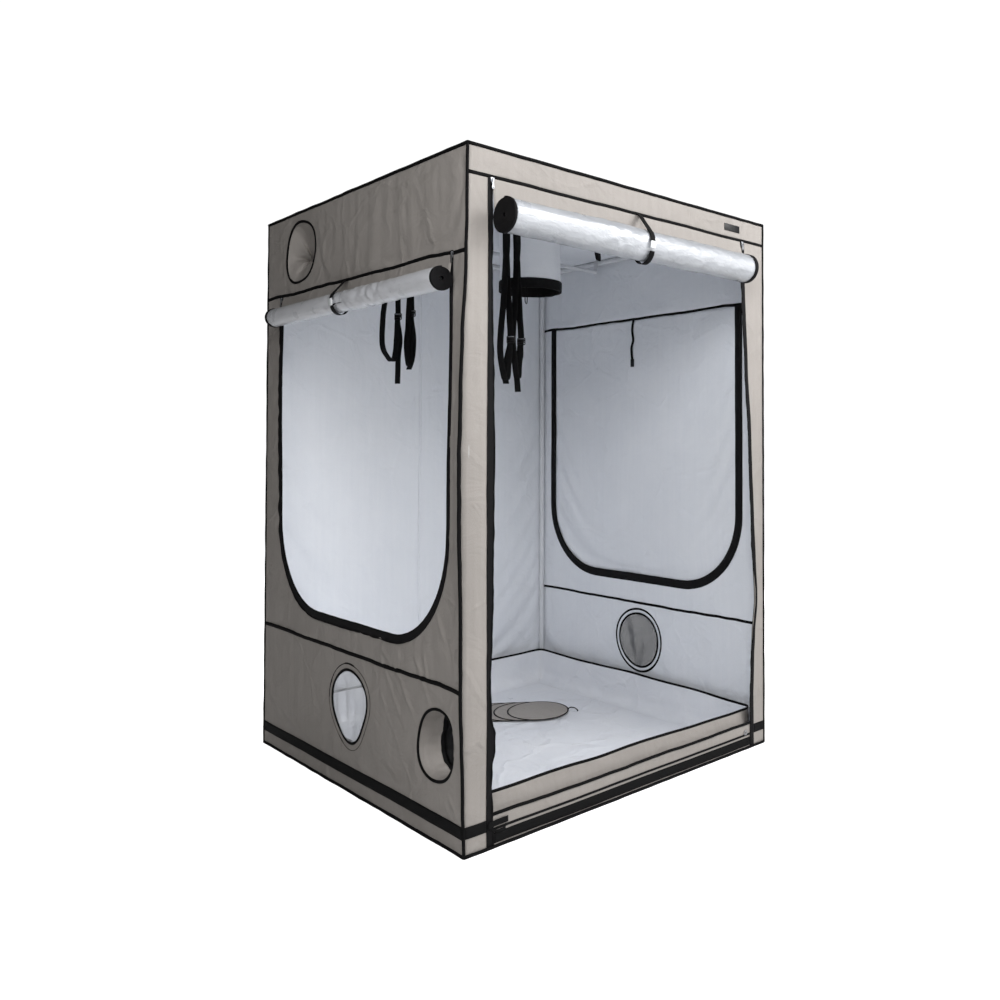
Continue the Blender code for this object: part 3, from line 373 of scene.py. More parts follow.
def within(edge, point):
    """True where a point is inside a closed cutting line."""
    inside = False
    for first, second in sides_of(edge):
        if (first.y > point.y) != (second.y > point.y):
            if point.x < first.x + (second.x - first.x) * (point.y - first.y) / (second.y - first.y):
                inside = not inside
    return inside


print("a U of 1 m by 1 m has", len(u_edge(0, 0.5, 0, 1, 0.2)), "points")

# %% [markdown]
# ## Cutting cloth
# A grid gives cloth its points, a few millimetres apart, so that it can fold. An opening is cut by dropping
# the cells inside its line and pulling the points that are left onto it. The UV map is written while the
# cloth still lies flat, in metres, so every thread keeps its true size.


# %% Flat cloth
CELL = 0.015  # metres between the points of a wall's cloth; what is small or wrinkled has its own, finer cell


def flat_cloth(left, right, low, high, cell=CELL):
    """A grid of cloth on the cutting table, with cells of about the given size."""
    cloth = bmesh.new()
    wide, tall = right - left, high - low
    bmesh.ops.create_grid(cloth, x_segments=round(wide / cell), y_segments=round(tall / cell), size=0.5)
    bmesh.ops.scale(cloth, vec=(wide, tall, 1), verts=cloth.verts)
    bmesh.ops.translate(cloth, vec=((left + right) / 2, (low + high) / 2, 0), verts=cloth.verts)
    return cloth


def mark_threads(cloth):
    """Write the cloth's UV map from where each point lies on the table."""
    threads = cloth.loops.layers.uv.new("cloth")
    for face in cloth.faces:
        for loop in face.loops:
            loop[threads].uv = loop.vert.co.xy


def cut_out(cloth, edge, cell=CELL, keep_inside=False):
    """Cut along a closed line and drop the cloth inside it, or outside it for a round patch."""
    rough_edge = edge[::4] + edge[-1:]  # every fourth point is enough to tell inside from outside
    spare = [face for face in cloth.faces if within(rough_edge, face.calc_center_median().xy) != keep_inside]
    bmesh.ops.delete(cloth, geom=spare, context="FACES")
    for vert in [vert for vert in cloth.verts if vert.is_boundary]:
        place, distance = nearest_on(edge, vert.co.xy)
        if distance < 1.3 * cell or keep_inside:
            vert.co.xy = place


# %% [markdown]
# ## Slack and creases
# A sewn wall is never flat. Its seams are short of the cloth between them, so soft folds stand across the
# panel and die away at each seam. Smooth noise, stretched to the direction of the pull, makes such folds; a
# ridged noise adds the thin, sharper creases that stay from the carton the tent was packed in.


# %% Slack
TAPE_REACH, SEAM_REACH = 0.025, 0.004  # the cloth lies flat this far beside an opening's line and beside a seam


def smooth_share(value):
    """0 to 1, without a kink at either end."""
    value = max(0.0, min(1.0, value))
    return value * value * (3 - 2 * value)


def folds_at(across, up, seed, long, short, turn=0.0):
    """Soft folds: noise that is long in one direction and short across it. The result is about -1 to 1."""
    along = across * cos(turn) + up * sin(turn)
    over = up * cos(turn) - across * sin(turn)
    return noise.noise(Vector((along / long, over / short, seed)))


def creases_at(across, up, seed, size):
    """Sharp packing creases: a ridge where the noise passes zero."""
    value = noise.noise(Vector((across / size, up / size, seed)))
    return max(0.0, 1 - abs(value) * 9)


def add_slack(cloth, seed, depth, edges=(), seams=(), foot=0.0, seam_width=0.07, crease=0.0012):
    """Raise a flat cloth by folds that fade out at its border, at every edge and seam and in its foot band."""
    xs = [vert.co.x for vert in cloth.verts]
    ys = [vert.co.y for vert in cloth.verts]
    left, right, low, high = min(xs), max(xs), min(ys), max(ys)
    cut_lines = distance_tree(edges)
    for vert in cloth.verts:
        across, up = vert.co.xy
        gap = min(across - left, right - across, up - low - foot, high - up)
        if edges:
            gap = min(gap, cut_lines.find(Vector((across, up, 0)))[2] - TAPE_REACH)
        for seam in seams:
            gap = min(gap, abs(up - seam) - SEAM_REACH)
        lift = depth * folds_at(across, up, seed, 0.5, 0.13, pi / 2)
        lift += depth * 0.45 * folds_at(across, up, seed + 7, 0.16, 0.10, pi / 2 + 0.5)
        lift += crease * creases_at(across, up, seed + 13, 0.16)
        vert.co.z += lift * smooth_share(gap / seam_width)
    bmesh.ops.smooth_vert(cloth, verts=cloth.verts, factor=0.3, use_axis_z=True)


# %% [markdown]
# ## Standing cloth up and making it an object
# A wall is stood up by three directions: across, up and outwards. Where these make a mirrored set, the faces
# are turned over, so that they still point outwards. The cloth then gets its thickness from a Solidify
# modifier, whose second material is the lining on the inside.

# %% Stand up and finish
RIGHT, BACK, UP = Vector((1, 0, 0)), Vector((0, 1, 0)), Vector((0, 0, 1))
WALLS = {  # across, up and outwards
    "front": (RIGHT, UP, Vector((0, -1, 0))),
    "back": (RIGHT, UP, BACK),
    "left": (BACK, UP, Vector((-1, 0, 0))),
    "right": (BACK, UP, RIGHT),
    "roof": (RIGHT, BACK, UP),
}
CLOTH_THICKNESS = 0.0012


def stand_up(cloth, wall, plane):
    """Move a drawing from the table to its wall, whose outer face is plane metres from the middle."""
    across, up, outwards = WALLS[wall]
    turn = Matrix((across, up, outwards)).transposed().to_4x4()
    bmesh.ops.transform(cloth, matrix=Matrix.Translation(outwards * plane) @ turn, verts=cloth.verts)
    if turn.determinant() < 0:
        bmesh.ops.reverse_faces(cloth, faces=cloth.faces)


def on_wall(wall, line, reach):
    """Stand a line up from the table on its wall, reach metres from the middle of the tent."""
    across, up, outwards = WALLS[wall]
    return [across * point.x + up * point.y + outwards * reach for point in line]


def make_piece(name, mesh, finishes, body="tent", thickness=0.0, offset=-1.0, stands_for=()):
    """Turn a bmesh into a finished piece that rides on its body and takes the place of its CAD nodes."""
    data = bpy.data.meshes.new(name)
    mesh.to_mesh(data)
    mesh.free()
    data.shade_smooth()
    for finish in finishes:
        data.materials.append(finish)
    piece = bpy.data.objects.new(name, data)
    bpy.context.scene.collection.objects.link(piece)
    if thickness:
        wall = piece.modifiers.new("thickness", "SOLIDIFY")
        wall.thickness = thickness
        wall.offset = offset
        wall.material_offset = len(finishes) - 1
        wall.material_offset_rim = 0
    if stands_for:
        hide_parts(*stands_for)
    if body:
        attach(piece, body)
    return piece


# %% [markdown]
# ## Letting cloth sag
# Noise gives even folds everywhere, but real slack gathers below the places that hold it. Blender's Cloth
# finds those folds: the panel is grown by a fifth of a percent, held at its seams, and left to sag for 20
# frames. The result is read back into the mesh, so no Cloth modifier stays on the piece.


# %% Sagging by simulation
SAG_FRAMES = 20
SAG_SETTINGS = {"quality": 4, "mass": 0.25, "tension_stiffness": 15, "compression_stiffness": 15,
                "shear_stiffness": 8, "air_damping": 3, "vertex_group_mass": "sewn"}


def let_sag(cloth, held, spare=0.002, cap=0.016, stiff=0.6):
    """Settle a standing cloth under gravity, held at some of its points, and bake it into the mesh."""
    cloth.verts.ensure_lookup_table()
    cloth.verts.index_update()
    draft_data = bpy.data.meshes.new("draft")
    cloth.to_mesh(draft_data)
    draft = bpy.data.objects.new("draft", draft_data)
    bpy.context.scene.collection.objects.link(draft)
    sewn = draft.vertex_groups.new(name="sewn")
    sewn.add([vert.index for vert in held], 1.0, "REPLACE")
    sagging = draft.modifiers.new("sagging", "CLOTH")
    for setting, value in SAG_SETTINGS.items():
        setattr(sagging.settings, setting, value)
    sagging.settings.bending_stiffness = stiff
    sagging.settings.shrink_min = -spare
    sagging.collision_settings.use_collision = False
    sagging.point_cache.frame_end = SAG_FRAMES
    for step in range(1, SAG_FRAMES + 1):
        bpy.context.scene.frame_set(step)
    settled = draft.evaluated_get(bpy.context.evaluated_depsgraph_get()).data
    most = 0.0
    for vert, place in zip(cloth.verts, settled.vertices):
        move = place.co - vert.co
        if move.length > cap:
            move = move.normalized() * cap
        most = max(most, move.length)
        vert.co += move
    bpy.data.objects.remove(draft)
    bpy.data.meshes.remove(draft_data)
    bpy.context.scene.frame_set(1)
    bmesh.ops.smooth_vert(cloth, verts=[vert for vert in cloth.verts if vert not in held], factor=0.5,
                          use_axis_x=True, use_axis_y=True, use_axis_z=True)
    print("sagged by up to", round(most * 1000, 1), "mm")


# %% [markdown]
# ## Strips and beads
# Tapes, belts, piping and a rolled door are all one idea: a strip that follows a path. A grid is laid along
# the path, one row of points to each step, and the shape of its cross section says whether the result is a
# flat tape, a round bead or a half-round zip coil.


# %% Strips that follow a path
def flat_section(width):
    """A flat tape's cross section: (across, out) for a share from -0.5 to 0.5, the same all along the path."""
    return lambda share, reach: (width * share, 0.0)


def round_section(wide, thick=None):
    """A round or flattened bead's cross section, once round for the whole share."""
    thick = wide if thick is None else thick
    return lambda share, reach: (wide * cos(2 * pi * share), thick * sin(2 * pi * share))


def follow(mesh, path, across, section, rows=2):
    """Lay a strip along a path. Across is the direction of its width, one for all points or one each."""
    sides = across if isinstance(across, list) else [across] * len(path)
    lengths, last = measured(path), len(path) - 1
    ring = (path[0] - path[last]).length < 1e-6
    shape = [Vector(section(row / rows - 0.5, 0.0)) for row in range(rows + 1)]
    girth = sum((second - first).length for first, second in zip(shape, shape[1:]))
    threads = mesh.loops.layers.uv.get("cloth") or mesh.loops.layers.uv.new("cloth")
    made = bmesh.ops.create_grid(mesh, x_segments=last, y_segments=rows, size=0.5)["verts"]
    flat = {vert: (round((vert.co.x + 0.5) * last), vert.co.y) for vert in made}
    for face in {face for vert in made for face in vert.link_faces}:
        for loop in face.loops:
            step, share = flat[loop.vert]
            loop[threads].uv = (lengths[step], girth * share)
    for vert, (step, share) in flat.items():
        before = path[last - 1] if ring and step == 0 else path[max(step - 1, 0)]
        after = path[1] if ring and step == last else path[min(step + 1, last)]
        side = sides[step].normalized()
        out = (after - before).normalized().cross(side)
        sideways, outwards = section(share, step / last)
        vert.co = path[step] + side * sideways + out * outwards
    if ring:
        bmesh.ops.remove_doubles(mesh, verts=made, dist=1e-5)
    return [vert for vert in made if vert.is_valid]


def bead(mesh, path, across, wide, thick=None, sides=8):
    """A bead along a path, closed along its seam and at both ends, with its faces outwards."""
    made = follow(mesh, path, across, round_section(wide, thick), sides)
    bmesh.ops.remove_doubles(mesh, verts=made, dist=wide * 0.01)
    made = [vert for vert in made if vert.is_valid]
    rims = {edge for vert in made for edge in vert.link_edges if edge.is_boundary}
    bmesh.ops.holes_fill(mesh, edges=list(rims), sides=0)
    bmesh.ops.recalc_face_normals(mesh, faces=list({face for vert in made for face in vert.link_faces}))


def ring_path(middle, across, up, radius, sway=(), spacing=0.012):
    """A closed round path in the plane of two directions, true or with a swaying radius."""
    count = max(16, round(2 * pi * radius / spacing))
    turns = [2 * pi * step / count for step in range(count)] + [0.0]
    return [middle + (across * cos(turn) + up * sin(turn)) * radius * sway_at(turn, sway) for turn in turns]


def smooth_path(points, spacing=0.006):
    """A soft curve through a few points, for webbing that hangs or bends."""
    curve = []
    for place in range(len(points) - 1):
        before, first = points[max(place - 1, 0)], points[place]
        second, after = points[place + 1], points[min(place + 2, len(points) - 1)]
        for step in range(8):
            t = step / 8
            pull = (second - before) * 0.5 * (t - 2 * t ** 2 + t ** 3) + (after - first) * 0.5 * (t ** 3 - t ** 2)
            curve.append(first * (1 - 3 * t ** 2 + 2 * t ** 3) + second * (3 * t ** 2 - 2 * t ** 3) + pull)
    return even_steps(curve + [points[-1]], spacing)


def bend(start, offsets, spacing=0.006):
    """A soft curve through the points that lie at some offsets from a start."""
    return smooth_path([start + Vector(offset) for offset in offsets], spacing)


def sewn_line(start, end, spacing, seed, depth):
    """A seam on the cutting table from start to end, straight but for its wandering."""
    return wander(even_steps([Vector(start), Vector(end)], spacing), seed, depth)


def sew_webbing(name, path, across, width, body, thickness, stands_for=(), drift=()):
    """A strip of webbing along a path. Drift is the depth, size and seed of its wavering."""
    strip = bmesh.new()
    follow(strip, path, across, flat_section(width), 4)
    if drift:
        waver(strip.verts, *drift)
    return make_piece(name, strip, [webbing], body=body, thickness=thickness, offset=0.0,
                      stands_for=stands_for)


def waver(verts, depth, size, seed):
    """Let points drift a little, as sewn edges do."""
    for vert in verts:
        if vert.is_valid:
            vert.co += noise.noise_vector(vert.co / size + Vector((seed, 0, 0))) * depth


print("sewing helpers ready; walls", ", ".join(WALLS))

# %% [markdown]
# ## The lines of the tent
# The numbers are the tent's own sizes, taken from its solids: where seams run, how doorways and ports are cut.
# The left doorway is open and its door is rolled up; the right door is closed and is its own piece.

# %% Seams, doorways and ports
WALL_FACE = 0.7456
ROOF_FACE = 2.1956
WALL_HALF = 0.7435
FOOT_Z, HEAD_Z = 0.0065, 2.1945
HEADER_Z, SILL_Z = 2.105, 0.107
LOW_SEAM_Z = 0.495
SIDE_SEAM_Z, SIDE_FOOT_Z, SIDE_RADIUS = 1.870, 0.610, 0.340
LEFT_MIDDLE, RIGHT_MIDDLE, SIDE_HALF = -0.032, 0.016, 0.636
TAPE_HALF, LINE_STEP = 0.0155, 0.012
BAND_TOP = 0.104  # the walls are held flat below this height by the band round their foot
PORTS = {  # wall: name: (across, up, radius, sway of the radius)
    "left": {
        "upper": (0.430, 2.030, 0.1275, ((0.01, 0.02), (0.04, -0.03), (-0.025, -0.015), (-0.02, -0.015))),
        "lower": (-0.582, 0.304, 0.111, ((-0.02, 0.02), (-0.03, -0.07), (0.0, -0.01), (-0.02, -0.005))),
        "vent": (-0.008, 0.316, 0.127, ((0.02, 0.0), (0.0, -0.02), (0.016, 0.045), (0.018, -0.02))),
    },
    "right": {"vent": (0.004, 0.316, 0.127, ((0.0, 0.01), (0.01, 0.0), (0.01, 0.01)))},
    "roof": {"top": (0.078, 0.0, 0.1325, ())},
}


def along_knots(knots, place):
    """The value at a place between the two nearest knots, each of which is a place and its value."""
    for (start, low), (end, high) in zip(knots, knots[1:]):
        if place <= end:
            return low + (high - low) * smooth_share((place - start) / (end - start))
    return knots[-1][1]


# How far the zip pulls the right edge of the front doorway outwards: (height, metres)
RIGHT_PULL = ((0.0, 0.004), (0.20, 0.004), (0.37, 0.016), (0.46, 0.026), (0.62, 0.046), (0.80, 0.040), (0.95, 0.032),
              (1.30, 0.024), (1.60, 0.008), (1.90, 0.0))


def front_zip_x(side, height):
    """Where the middle of a front zip is at a height. The pillars lean a little, as sewn."""
    top, foot = (-0.655, -0.650) if side == "left" else (0.602, 0.653)
    pull = 0.0 if side == "left" else along_knots(RIGHT_PULL, height)
    return foot + (top - foot) * (height - SILL_Z) / (HEADER_Z - SILL_Z) + pull


FRONT_HEIGHTS = [HEADER_Z - 2.093 * step / 60 for step in range(61)]
FRONT_ZIPS = {side: wander(even_steps([Vector((front_zip_x(side, height), height)) for height in FRONT_HEIGHTS],
                                      LINE_STEP), seed)
              for side, seed in (("left", 3), ("right", 4))}
LEFT_ZIP = wander(even_steps(u_edge(LEFT_MIDDLE, SIDE_HALF, SIDE_FOOT_Z - 0.007, SIDE_SEAM_Z, SIDE_RADIUS),
                             LINE_STEP), 5)
for point in LEFT_ZIP:  # its front leg leans backwards towards the foot, and its lower corners are pulled in
    drop = smooth_share((1.66 - point.y) / 0.5)
    low = smooth_share((1.02 - point.y) / 0.30)
    if point.x < LEFT_MIDDLE:
        point.x += (0.014 * drop + 0.012 * low) * smooth_share((LEFT_MIDDLE - point.x) / 0.4)
    else:
        belly = smooth_share(1 - abs(point.y - 1.45) / 0.5)
        point.x += (0.014 * belly - 0.008 * low) * smooth_share((point.x - LEFT_MIDDLE) / 0.4)
RIGHT_ZIP = wander(even_steps(u_edge(RIGHT_MIDDLE, SIDE_HALF, SIDE_FOOT_Z, SIDE_SEAM_Z, SIDE_RADIUS), LINE_STEP),
                   6, 0.0015)
front_opening = ([point for point in FRONT_ZIPS["left"] if point.y > SILL_Z]
                 + [Vector((front_zip_x("left", SILL_Z), SILL_Z)), Vector((front_zip_x("right", SILL_Z), SILL_Z))]
                 + [point for point in reversed(FRONT_ZIPS["right"]) if point.y > SILL_Z])
front_opening = even_steps(front_opening + [front_opening[0]], 0.006)[:-1]
print("zip lengths", [round(measured(line)[-1], 2) for line in (FRONT_ZIPS["left"], LEFT_ZIP, RIGHT_ZIP)])


# %% [markdown]
# ## The corner that bows
# The upright edge at the front left isn't straight: the two walls pull it sideways at mid height, by up to 17 mm
# each way. Every piece that meets there is bent by the same function, so that they stay together.

# %% Bowed corner
CORNER_BOW = ((0.0, 0.002), (0.12, 0.005), (0.49, 0.011), (0.73, 0.0125), (0.98, 0.0165), (1.25, 0.017),
              (1.405, 0.0145), (1.59, 0.011), (1.83, 0.003), (2.2, 0.0))


def bow_corner(mesh):
    """Bend whatever lies near the front left edge outwards on the left and backwards on the front."""
    for vert in mesh.verts:
        gap = max(0.0, vert.co.x + 0.745) / 0.05 + max(0.0, vert.co.y + 0.745) / 0.12
        if gap < 1:
            bow = along_knots(CORNER_BOW, vert.co.z) * (1 - gap) ** 2
            vert.co += Vector((-bow, bow, 0))


# %% [markdown]
# ## The five walls and the roof
# Each wall is one panel of cloth with its openings cut out. Its free edges lie under the middle of the zip
# tapes, and its border under the piping. It is held where it is sewn, and sags a little everywhere else.
# The left wall is pulled towards the foot of its front corner, which leaves a fan of creases below the doorway.

# %% Walls and roof
CREASE_HEIGHT, CREASE_HALF = 0.0046, 0.012
PULL_CREASES = (((-0.194, 0.574), (-0.405, 0.302)), ((-0.218, 0.566), (-0.324, 0.502)),
                ((-0.370, 0.464), (-0.469, 0.344)), ((-0.503, 0.600), (-0.528, 0.500)),
                ((-0.578, 0.738), (-0.639, 0.617)), ((-0.644, 0.181), (-0.730, 0.101)),
                ((-0.440, 0.590), (-0.560, 0.405)), ((-0.300, 0.545), (-0.420, 0.415)))


def press_creases(cloth):
    """Raise thin ridges along straight creases of a left wall that already stands. Each fades at its ends.

    What is sewn on the wall is pressed too, so that the wall doesn't come through it.
    """
    for first, second in PULL_CREASES:
        for vert in cloth.verts:
            place, share = beside(Vector(first), Vector(second), vert.co.yz)
            if 0 < share < 1 and vert.co.x < -0.7:
                away = (place - vert.co.yz).length / CREASE_HALF
                if away < 1:
                    vert.co.x -= CREASE_HEIGHT * (1 - away) * smooth_share(3 * min(share, 1 - share))


TAPE_HOLD, SEAM_HOLD = 0.03, 0.009  # how far beside an opening's line, and beside a seam, the cloth is held


def sew_wall(name, wall, plane, edges, seed, depth, low=FOOT_Z, high=HEAD_Z, seams=(), sag=True, foot=0.0):
    """Cut a wall from cloth, give it slack, stand it up and let it sag."""
    cloth = flat_cloth(-WALL_HALF, WALL_HALF, low, high)
    for edge in edges:
        cut_out(cloth, edge)
    mark_threads(cloth)
    add_slack(cloth, seed, depth, edges, seams, foot)
    cut_lines = distance_tree(edges)
    held = {vert for vert in cloth.verts if vert.is_boundary or vert.co.y < low + foot
            or any(abs(vert.co.y - seam) < SEAM_HOLD for seam in seams)
            or (edges and cut_lines.find(vert.co.xy.to_3d())[2] < TAPE_HOLD)}
    stand_up(cloth, wall, plane)
    if sag:
        let_sag(cloth, held)
    if wall == "left":
        bmesh.ops.subdivide_edges(cloth, edges=cloth.edges[:], cuts=1, use_grid_fill=True)
        press_creases(cloth)
    if wall in ("left", "front"):
        bow_corner(cloth)
    flat = (2 * WALL_HALF, high - low)
    gone = sum(area_of(edge) for edge in edges)
    if wall == "front":  # pieced from four strips, so its flat size is theirs, laid edge to edge
        flat, gone = (flat[0], flat[1] - gone / flat[0]), 0.0
    piece = make_piece(name + "_cloth", cloth, [oxford_cloth, lining],
                       thickness=CLOTH_THICKNESS, stands_for=[name])
    print(name, "flat", [round(size, 3) for size in flat], "openings", round(gone, 3), "square metres")
    return piece


sew_wall("front_panel", "front", WALL_FACE, [front_opening], 1, 0.005, seams=[HEADER_Z], sag=False, foot=BAND_TOP)
sew_wall("left_wall", "left", WALL_FACE, [LEFT_ZIP] + [round_edge(*port) for port in PORTS["left"].values()], 2,
         0.0034, seams=[LOW_SEAM_Z + 0.007, SIDE_SEAM_Z], foot=BAND_TOP)
sew_wall("right_wall", "right", WALL_FACE, [RIGHT_ZIP] + [round_edge(*port) for port in PORTS["right"].values()],
         3, 0.005, seams=[LOW_SEAM_Z, SIDE_SEAM_Z], foot=BAND_TOP)
sew_wall("back_panel", "back", WALL_FACE, [], 4, 0.006, foot=BAND_TOP)
sew_wall("roof_panel", "roof", ROOF_FACE, [round_edge(*PORTS["roof"]["top"])], 5, 0.004,
         low=-WALL_HALF, high=WALL_HALF)

# %% [markdown]
# ## The base
# The tent stands on a plain floor panel of the same cloth. It lies flat on the ground below the frame.

# %% Base floor
base = flat_cloth(-WALL_HALF, WALL_HALF, -WALL_HALF, WALL_HALF, 0.05)
mark_threads(base)
stand_up(base, "roof", 0.0)
bmesh.ops.reverse_faces(base, faces=base.faces)
base_cloth = make_piece("base_floor_cloth", base, [oxford_cloth, lining],
                        thickness=CLOTH_THICKNESS, stands_for=["base_floor"])

# %% [markdown]
# ## Piping and seams
# All twelve edges of the box are bound with black piping, about 10 mm thick. A flat binding of the same width
# covers the seams that run across the walls, inside and out. It is sewn by eye, so it wanders a little.

# %% Piping on the edges
EDGE, BASE_Z, TOP_Z = 0.745, 0.0072, 2.1935
piping = bmesh.new()
for level, thick in ((BASE_Z, 0.0060), (TOP_Z, 0.0064)):
    for turn in range(4):
        first = Matrix.Rotation(turn * pi / 2, 4, "Z") @ Vector((-EDGE, -EDGE, level))
        second = Matrix.Rotation(turn * pi / 2, 4, "Z") @ Vector((EDGE, -EDGE, level))
        bead(piping, even_steps([first, second], 0.02), UP, thick)
for side_x in (-1, 1):
    for side_y in (-1, 1):
        ends = [Vector((side_x * EDGE, side_y * EDGE, level)) for level in (BASE_Z, TOP_Z)]
        bead(piping, even_steps(ends, 0.02), RIGHT, 0.0050)
waver(piping.verts, 0.0014, 0.07, 1)
bow_corner(piping)
piping_piece = make_piece("edge_piping_cord", piping, [binding], stands_for=["edge_piping"])
print("piping faces", len(piping_piece.data.polygons))

# %% Binding over the seams
SEAM_END, SEAM_THICK = 0.742, 0.0024
SEAMS = (  # wall, height at its left or front end and at the other end, seed, half width, wandering
    ("left", LOW_SEAM_Z + 0.005, LOW_SEAM_Z + 0.010, 15, 0.0072, 0.0065),
    ("right", LOW_SEAM_Z, LOW_SEAM_Z, 15, 0.0060, 0.0065),
    ("left", SIDE_SEAM_Z - 0.006, SIDE_SEAM_Z + 0.001, 16, 0.0066, 0.0065),
    ("right", SIDE_SEAM_Z, SIDE_SEAM_Z, 16, 0.0066, 0.0065),
    ("front", HEADER_Z, HEADER_Z, 17, 0.0060, 0.003),
)


def both_faces(plane):
    """How far from the middle of the tent trim lies on a panel's outside and on its inside."""
    return plane + 0.0006, plane - CLOTH_THICKNESS - 0.0006


seams = bmesh.new()
for wall, start_z, end_z, seed, wide, depth in SEAMS:
    line = sewn_line((-SEAM_END, start_z), (SEAM_END, end_z), 0.02, seed, depth)
    for reach in both_faces(WALL_FACE):
        bead(seams, on_wall(wall, line, reach), UP, wide, SEAM_THICK)
bow_corner(seams)
press_creases(seams)
make_piece("seam_piping", seams, [binding])

# %% The plain seam down the back panel
back_cloth = bpy.data.objects["back_panel_cloth"].data
surface = kdtree.KDTree(len(back_cloth.vertices))
for vert in back_cloth.vertices:
    surface.insert((vert.co.x, 0, vert.co.z), vert.index)
surface.balance()
line = sewn_line((-0.010, 0.02), (-0.010, 2.18), 0.02, 18, 0.003)
for name, finish, lift in (("back_seam_outside", oxford_cloth, 0.0004),
                           ("back_seam_inside", lining, -CLOTH_THICKNESS - 0.0004)):
    fold = bmesh.new()
    path = []
    for point in line:  # the fold lies on the cloth, wherever that sags to
        nearest = surface.find((point.x, 0, point.y))[1]
        path.append(Vector((point.x, back_cloth.vertices[nearest].co.y + lift, point.y)))
    bead(fold, path, RIGHT, 0.006, 0.0018, 6)
    make_piece(name, fold, [finish])

# %% [markdown]
# ## Zip tapes
# A doorway is edged with zip tape, sewn over the cut edge of the wall inside and outside. One half of its
# width is free, and along that edge runs the nylon coil. The free half ruffles, because the needle gathers
# the tape a little at every stitch, and it curls, so that its width seems to change along the doorway.


# %% Zip tapes
def sew_tape(name, wall, line, inwards, seed, knots=((0.0, 0.031), (1.0, 0.031)), inside=(-TAPE_HALF, TAPE_HALF)):
    """Zip tape along a doorway line on both faces of its wall, with the coil along the free edge.

    Knots give the width of its outer face on the way along the line, inside the two edges of its inner face.
    """
    outwards = WALLS[wall][2]
    path = on_wall(wall, line, WALL_FACE)
    last = len(path) - 1
    headings = [(path[min(step + 1, last)] - path[max(step - 1, 0)]).normalized() for step in range(last + 1)]
    sides = [outwards.cross(heading) * inwards for heading in headings]

    def ruffle(share, reach):
        """The free half lifts and falls; the sewn half lies flat."""
        place = reach * len(path) * LINE_STEP
        lift = noise.noise(Vector((place / 0.05, seed, 0))) + 0.7 * noise.noise(Vector((place / 0.20, seed, 9)))
        return -TAPE_HALF + along_knots(knots, reach) * (share + 0.5), 0.005 * lift * max(0.0, 2 * share)

    tape = bmesh.new()
    follow(tape, [point + outwards * 0.0016 for point in path], sides, ruffle, 6)
    inner = [point + outwards * -(CLOTH_THICKNESS + 0.0012) for point in path]
    follow(tape, inner, sides, lambda share, reach: (inside[0] + (inside[1] - inside[0]) * (share + 0.5), 0.0), 3)
    if wall == "left":
        press_creases(tape)
    coil = []
    for step, (point, side, heading) in enumerate(zip(path, sides, headings)):
        sideways, lift = ruffle(0.5, step / last)
        coil.append(point + side * (sideways - 0.003) + heading.cross(side) * lift + outwards * 0.0018)
    bead(tape, coil, sides, 0.0022, sides=6)
    make_piece(name, tape, [zip_tape], thickness=0.0008, offset=0.0)


LEFT_KNOTS = ((0.0, 0.018), (0.20, 0.019), (0.31, 0.027), (0.42, 0.031), (0.62, 0.026), (0.70, 0.021),
              (0.76, 0.016), (0.815, 0.018), (0.835, 0.033), (0.862, 0.033), (0.885, 0.022), (1.0, 0.028))
RIGHT_KNOTS = ((0.0, 0.026), (0.35, 0.022), (0.6, 0.024), (0.70, 0.012), (0.76, 0.013), (0.82, 0.022), (1.0, 0.026))
SIDE_KNOTS = ((0.0, 0.026), (0.25, 0.024), (0.42, 0.034), (0.58, 0.032), (0.74, 0.020), (1.0, 0.018))
sew_tape("front_zip_tape_left", "front", FRONT_ZIPS["left"], 1, 3, LEFT_KNOTS, (-TAPE_HALF, 0.002))
sew_tape("front_zip_tape_right", "front", FRONT_ZIPS["right"], -1, 4, RIGHT_KNOTS, (-TAPE_HALF, 0.002))
sew_tape("left_zip_tape", "left", LEFT_ZIP, -1, 5, SIDE_KNOTS, (-TAPE_HALF, 0.006))
sew_tape("right_zip_tape", "right", RIGHT_ZIP, 1, 6, inside=(-0.0245, TAPE_HALF))
print("zip tapes sewn")

# %% [markdown]
# ## The closed door on the right
# Its cloth fills the U of the doorway and hangs from the seam. It swings on that seam once it is unzipped.

# %% Right door
DOOR_GAP, DOOR_TOP = 0.0003, SIDE_SEAM_Z - 0.002
door_line = u_edge(RIGHT_MIDDLE, SIDE_HALF - TAPE_HALF - DOOR_GAP, SIDE_FOOT_Z + TAPE_HALF + DOOR_GAP,
                   DOOR_TOP, SIDE_RADIUS - TAPE_HALF)
door = flat_cloth(RIGHT_MIDDLE - SIDE_HALF, RIGHT_MIDDLE + SIDE_HALF, SIDE_FOOT_Z, DOOR_TOP)
cut_out(door, door_line, keep_inside=True)
mark_threads(door)
add_slack(door, 21, 0.006, [door_line])
edge_verts = {vert for vert in door.verts if vert.is_boundary}
stand_up(door, "right", WALL_FACE)
let_sag(door, edge_verts, spare=0.0025)
right_door = make_piece("right_door_cloth", door, [oxford_cloth, lining], body="right_door",
                        thickness=CLOTH_THICKNESS, stands_for=["right_door"])

# %% [markdown]
# ## Rolled doors
# Each open door is wound up from its foot and hangs below its seam in a strap. A roll is the door's own
# sheet, so it is made as one: a spiral path of the door's full height, swept across its width. Loose turns
# and wrinkles make it read as coated cloth and not as a tube. The door's zip tape is wound up with it: it
# shows as a black, thick spiral that stands proud of the white sheet at each end. That black spiral is wound
# on past the door's inner edge and made thicker than tape, so that it also fills the hollow middle and the
# gaps between turns: there it is painted shade.

# %% Spiral and roll
ROLL_FLAT = 0.98  # a roll sinks a little under its own weight
# The black spiral winds down to this core, past the real tape, as painted shade in the roll's hollow middle
SHADE_FILLING_CORE = 0.014  # the tape winds on past the door's inner edge, down to this diameter


def spiral_turns(outer, inner, length):
    """How many turns a strip of a given length makes between two diameters."""
    return length / (pi * (outer + inner) / 2)


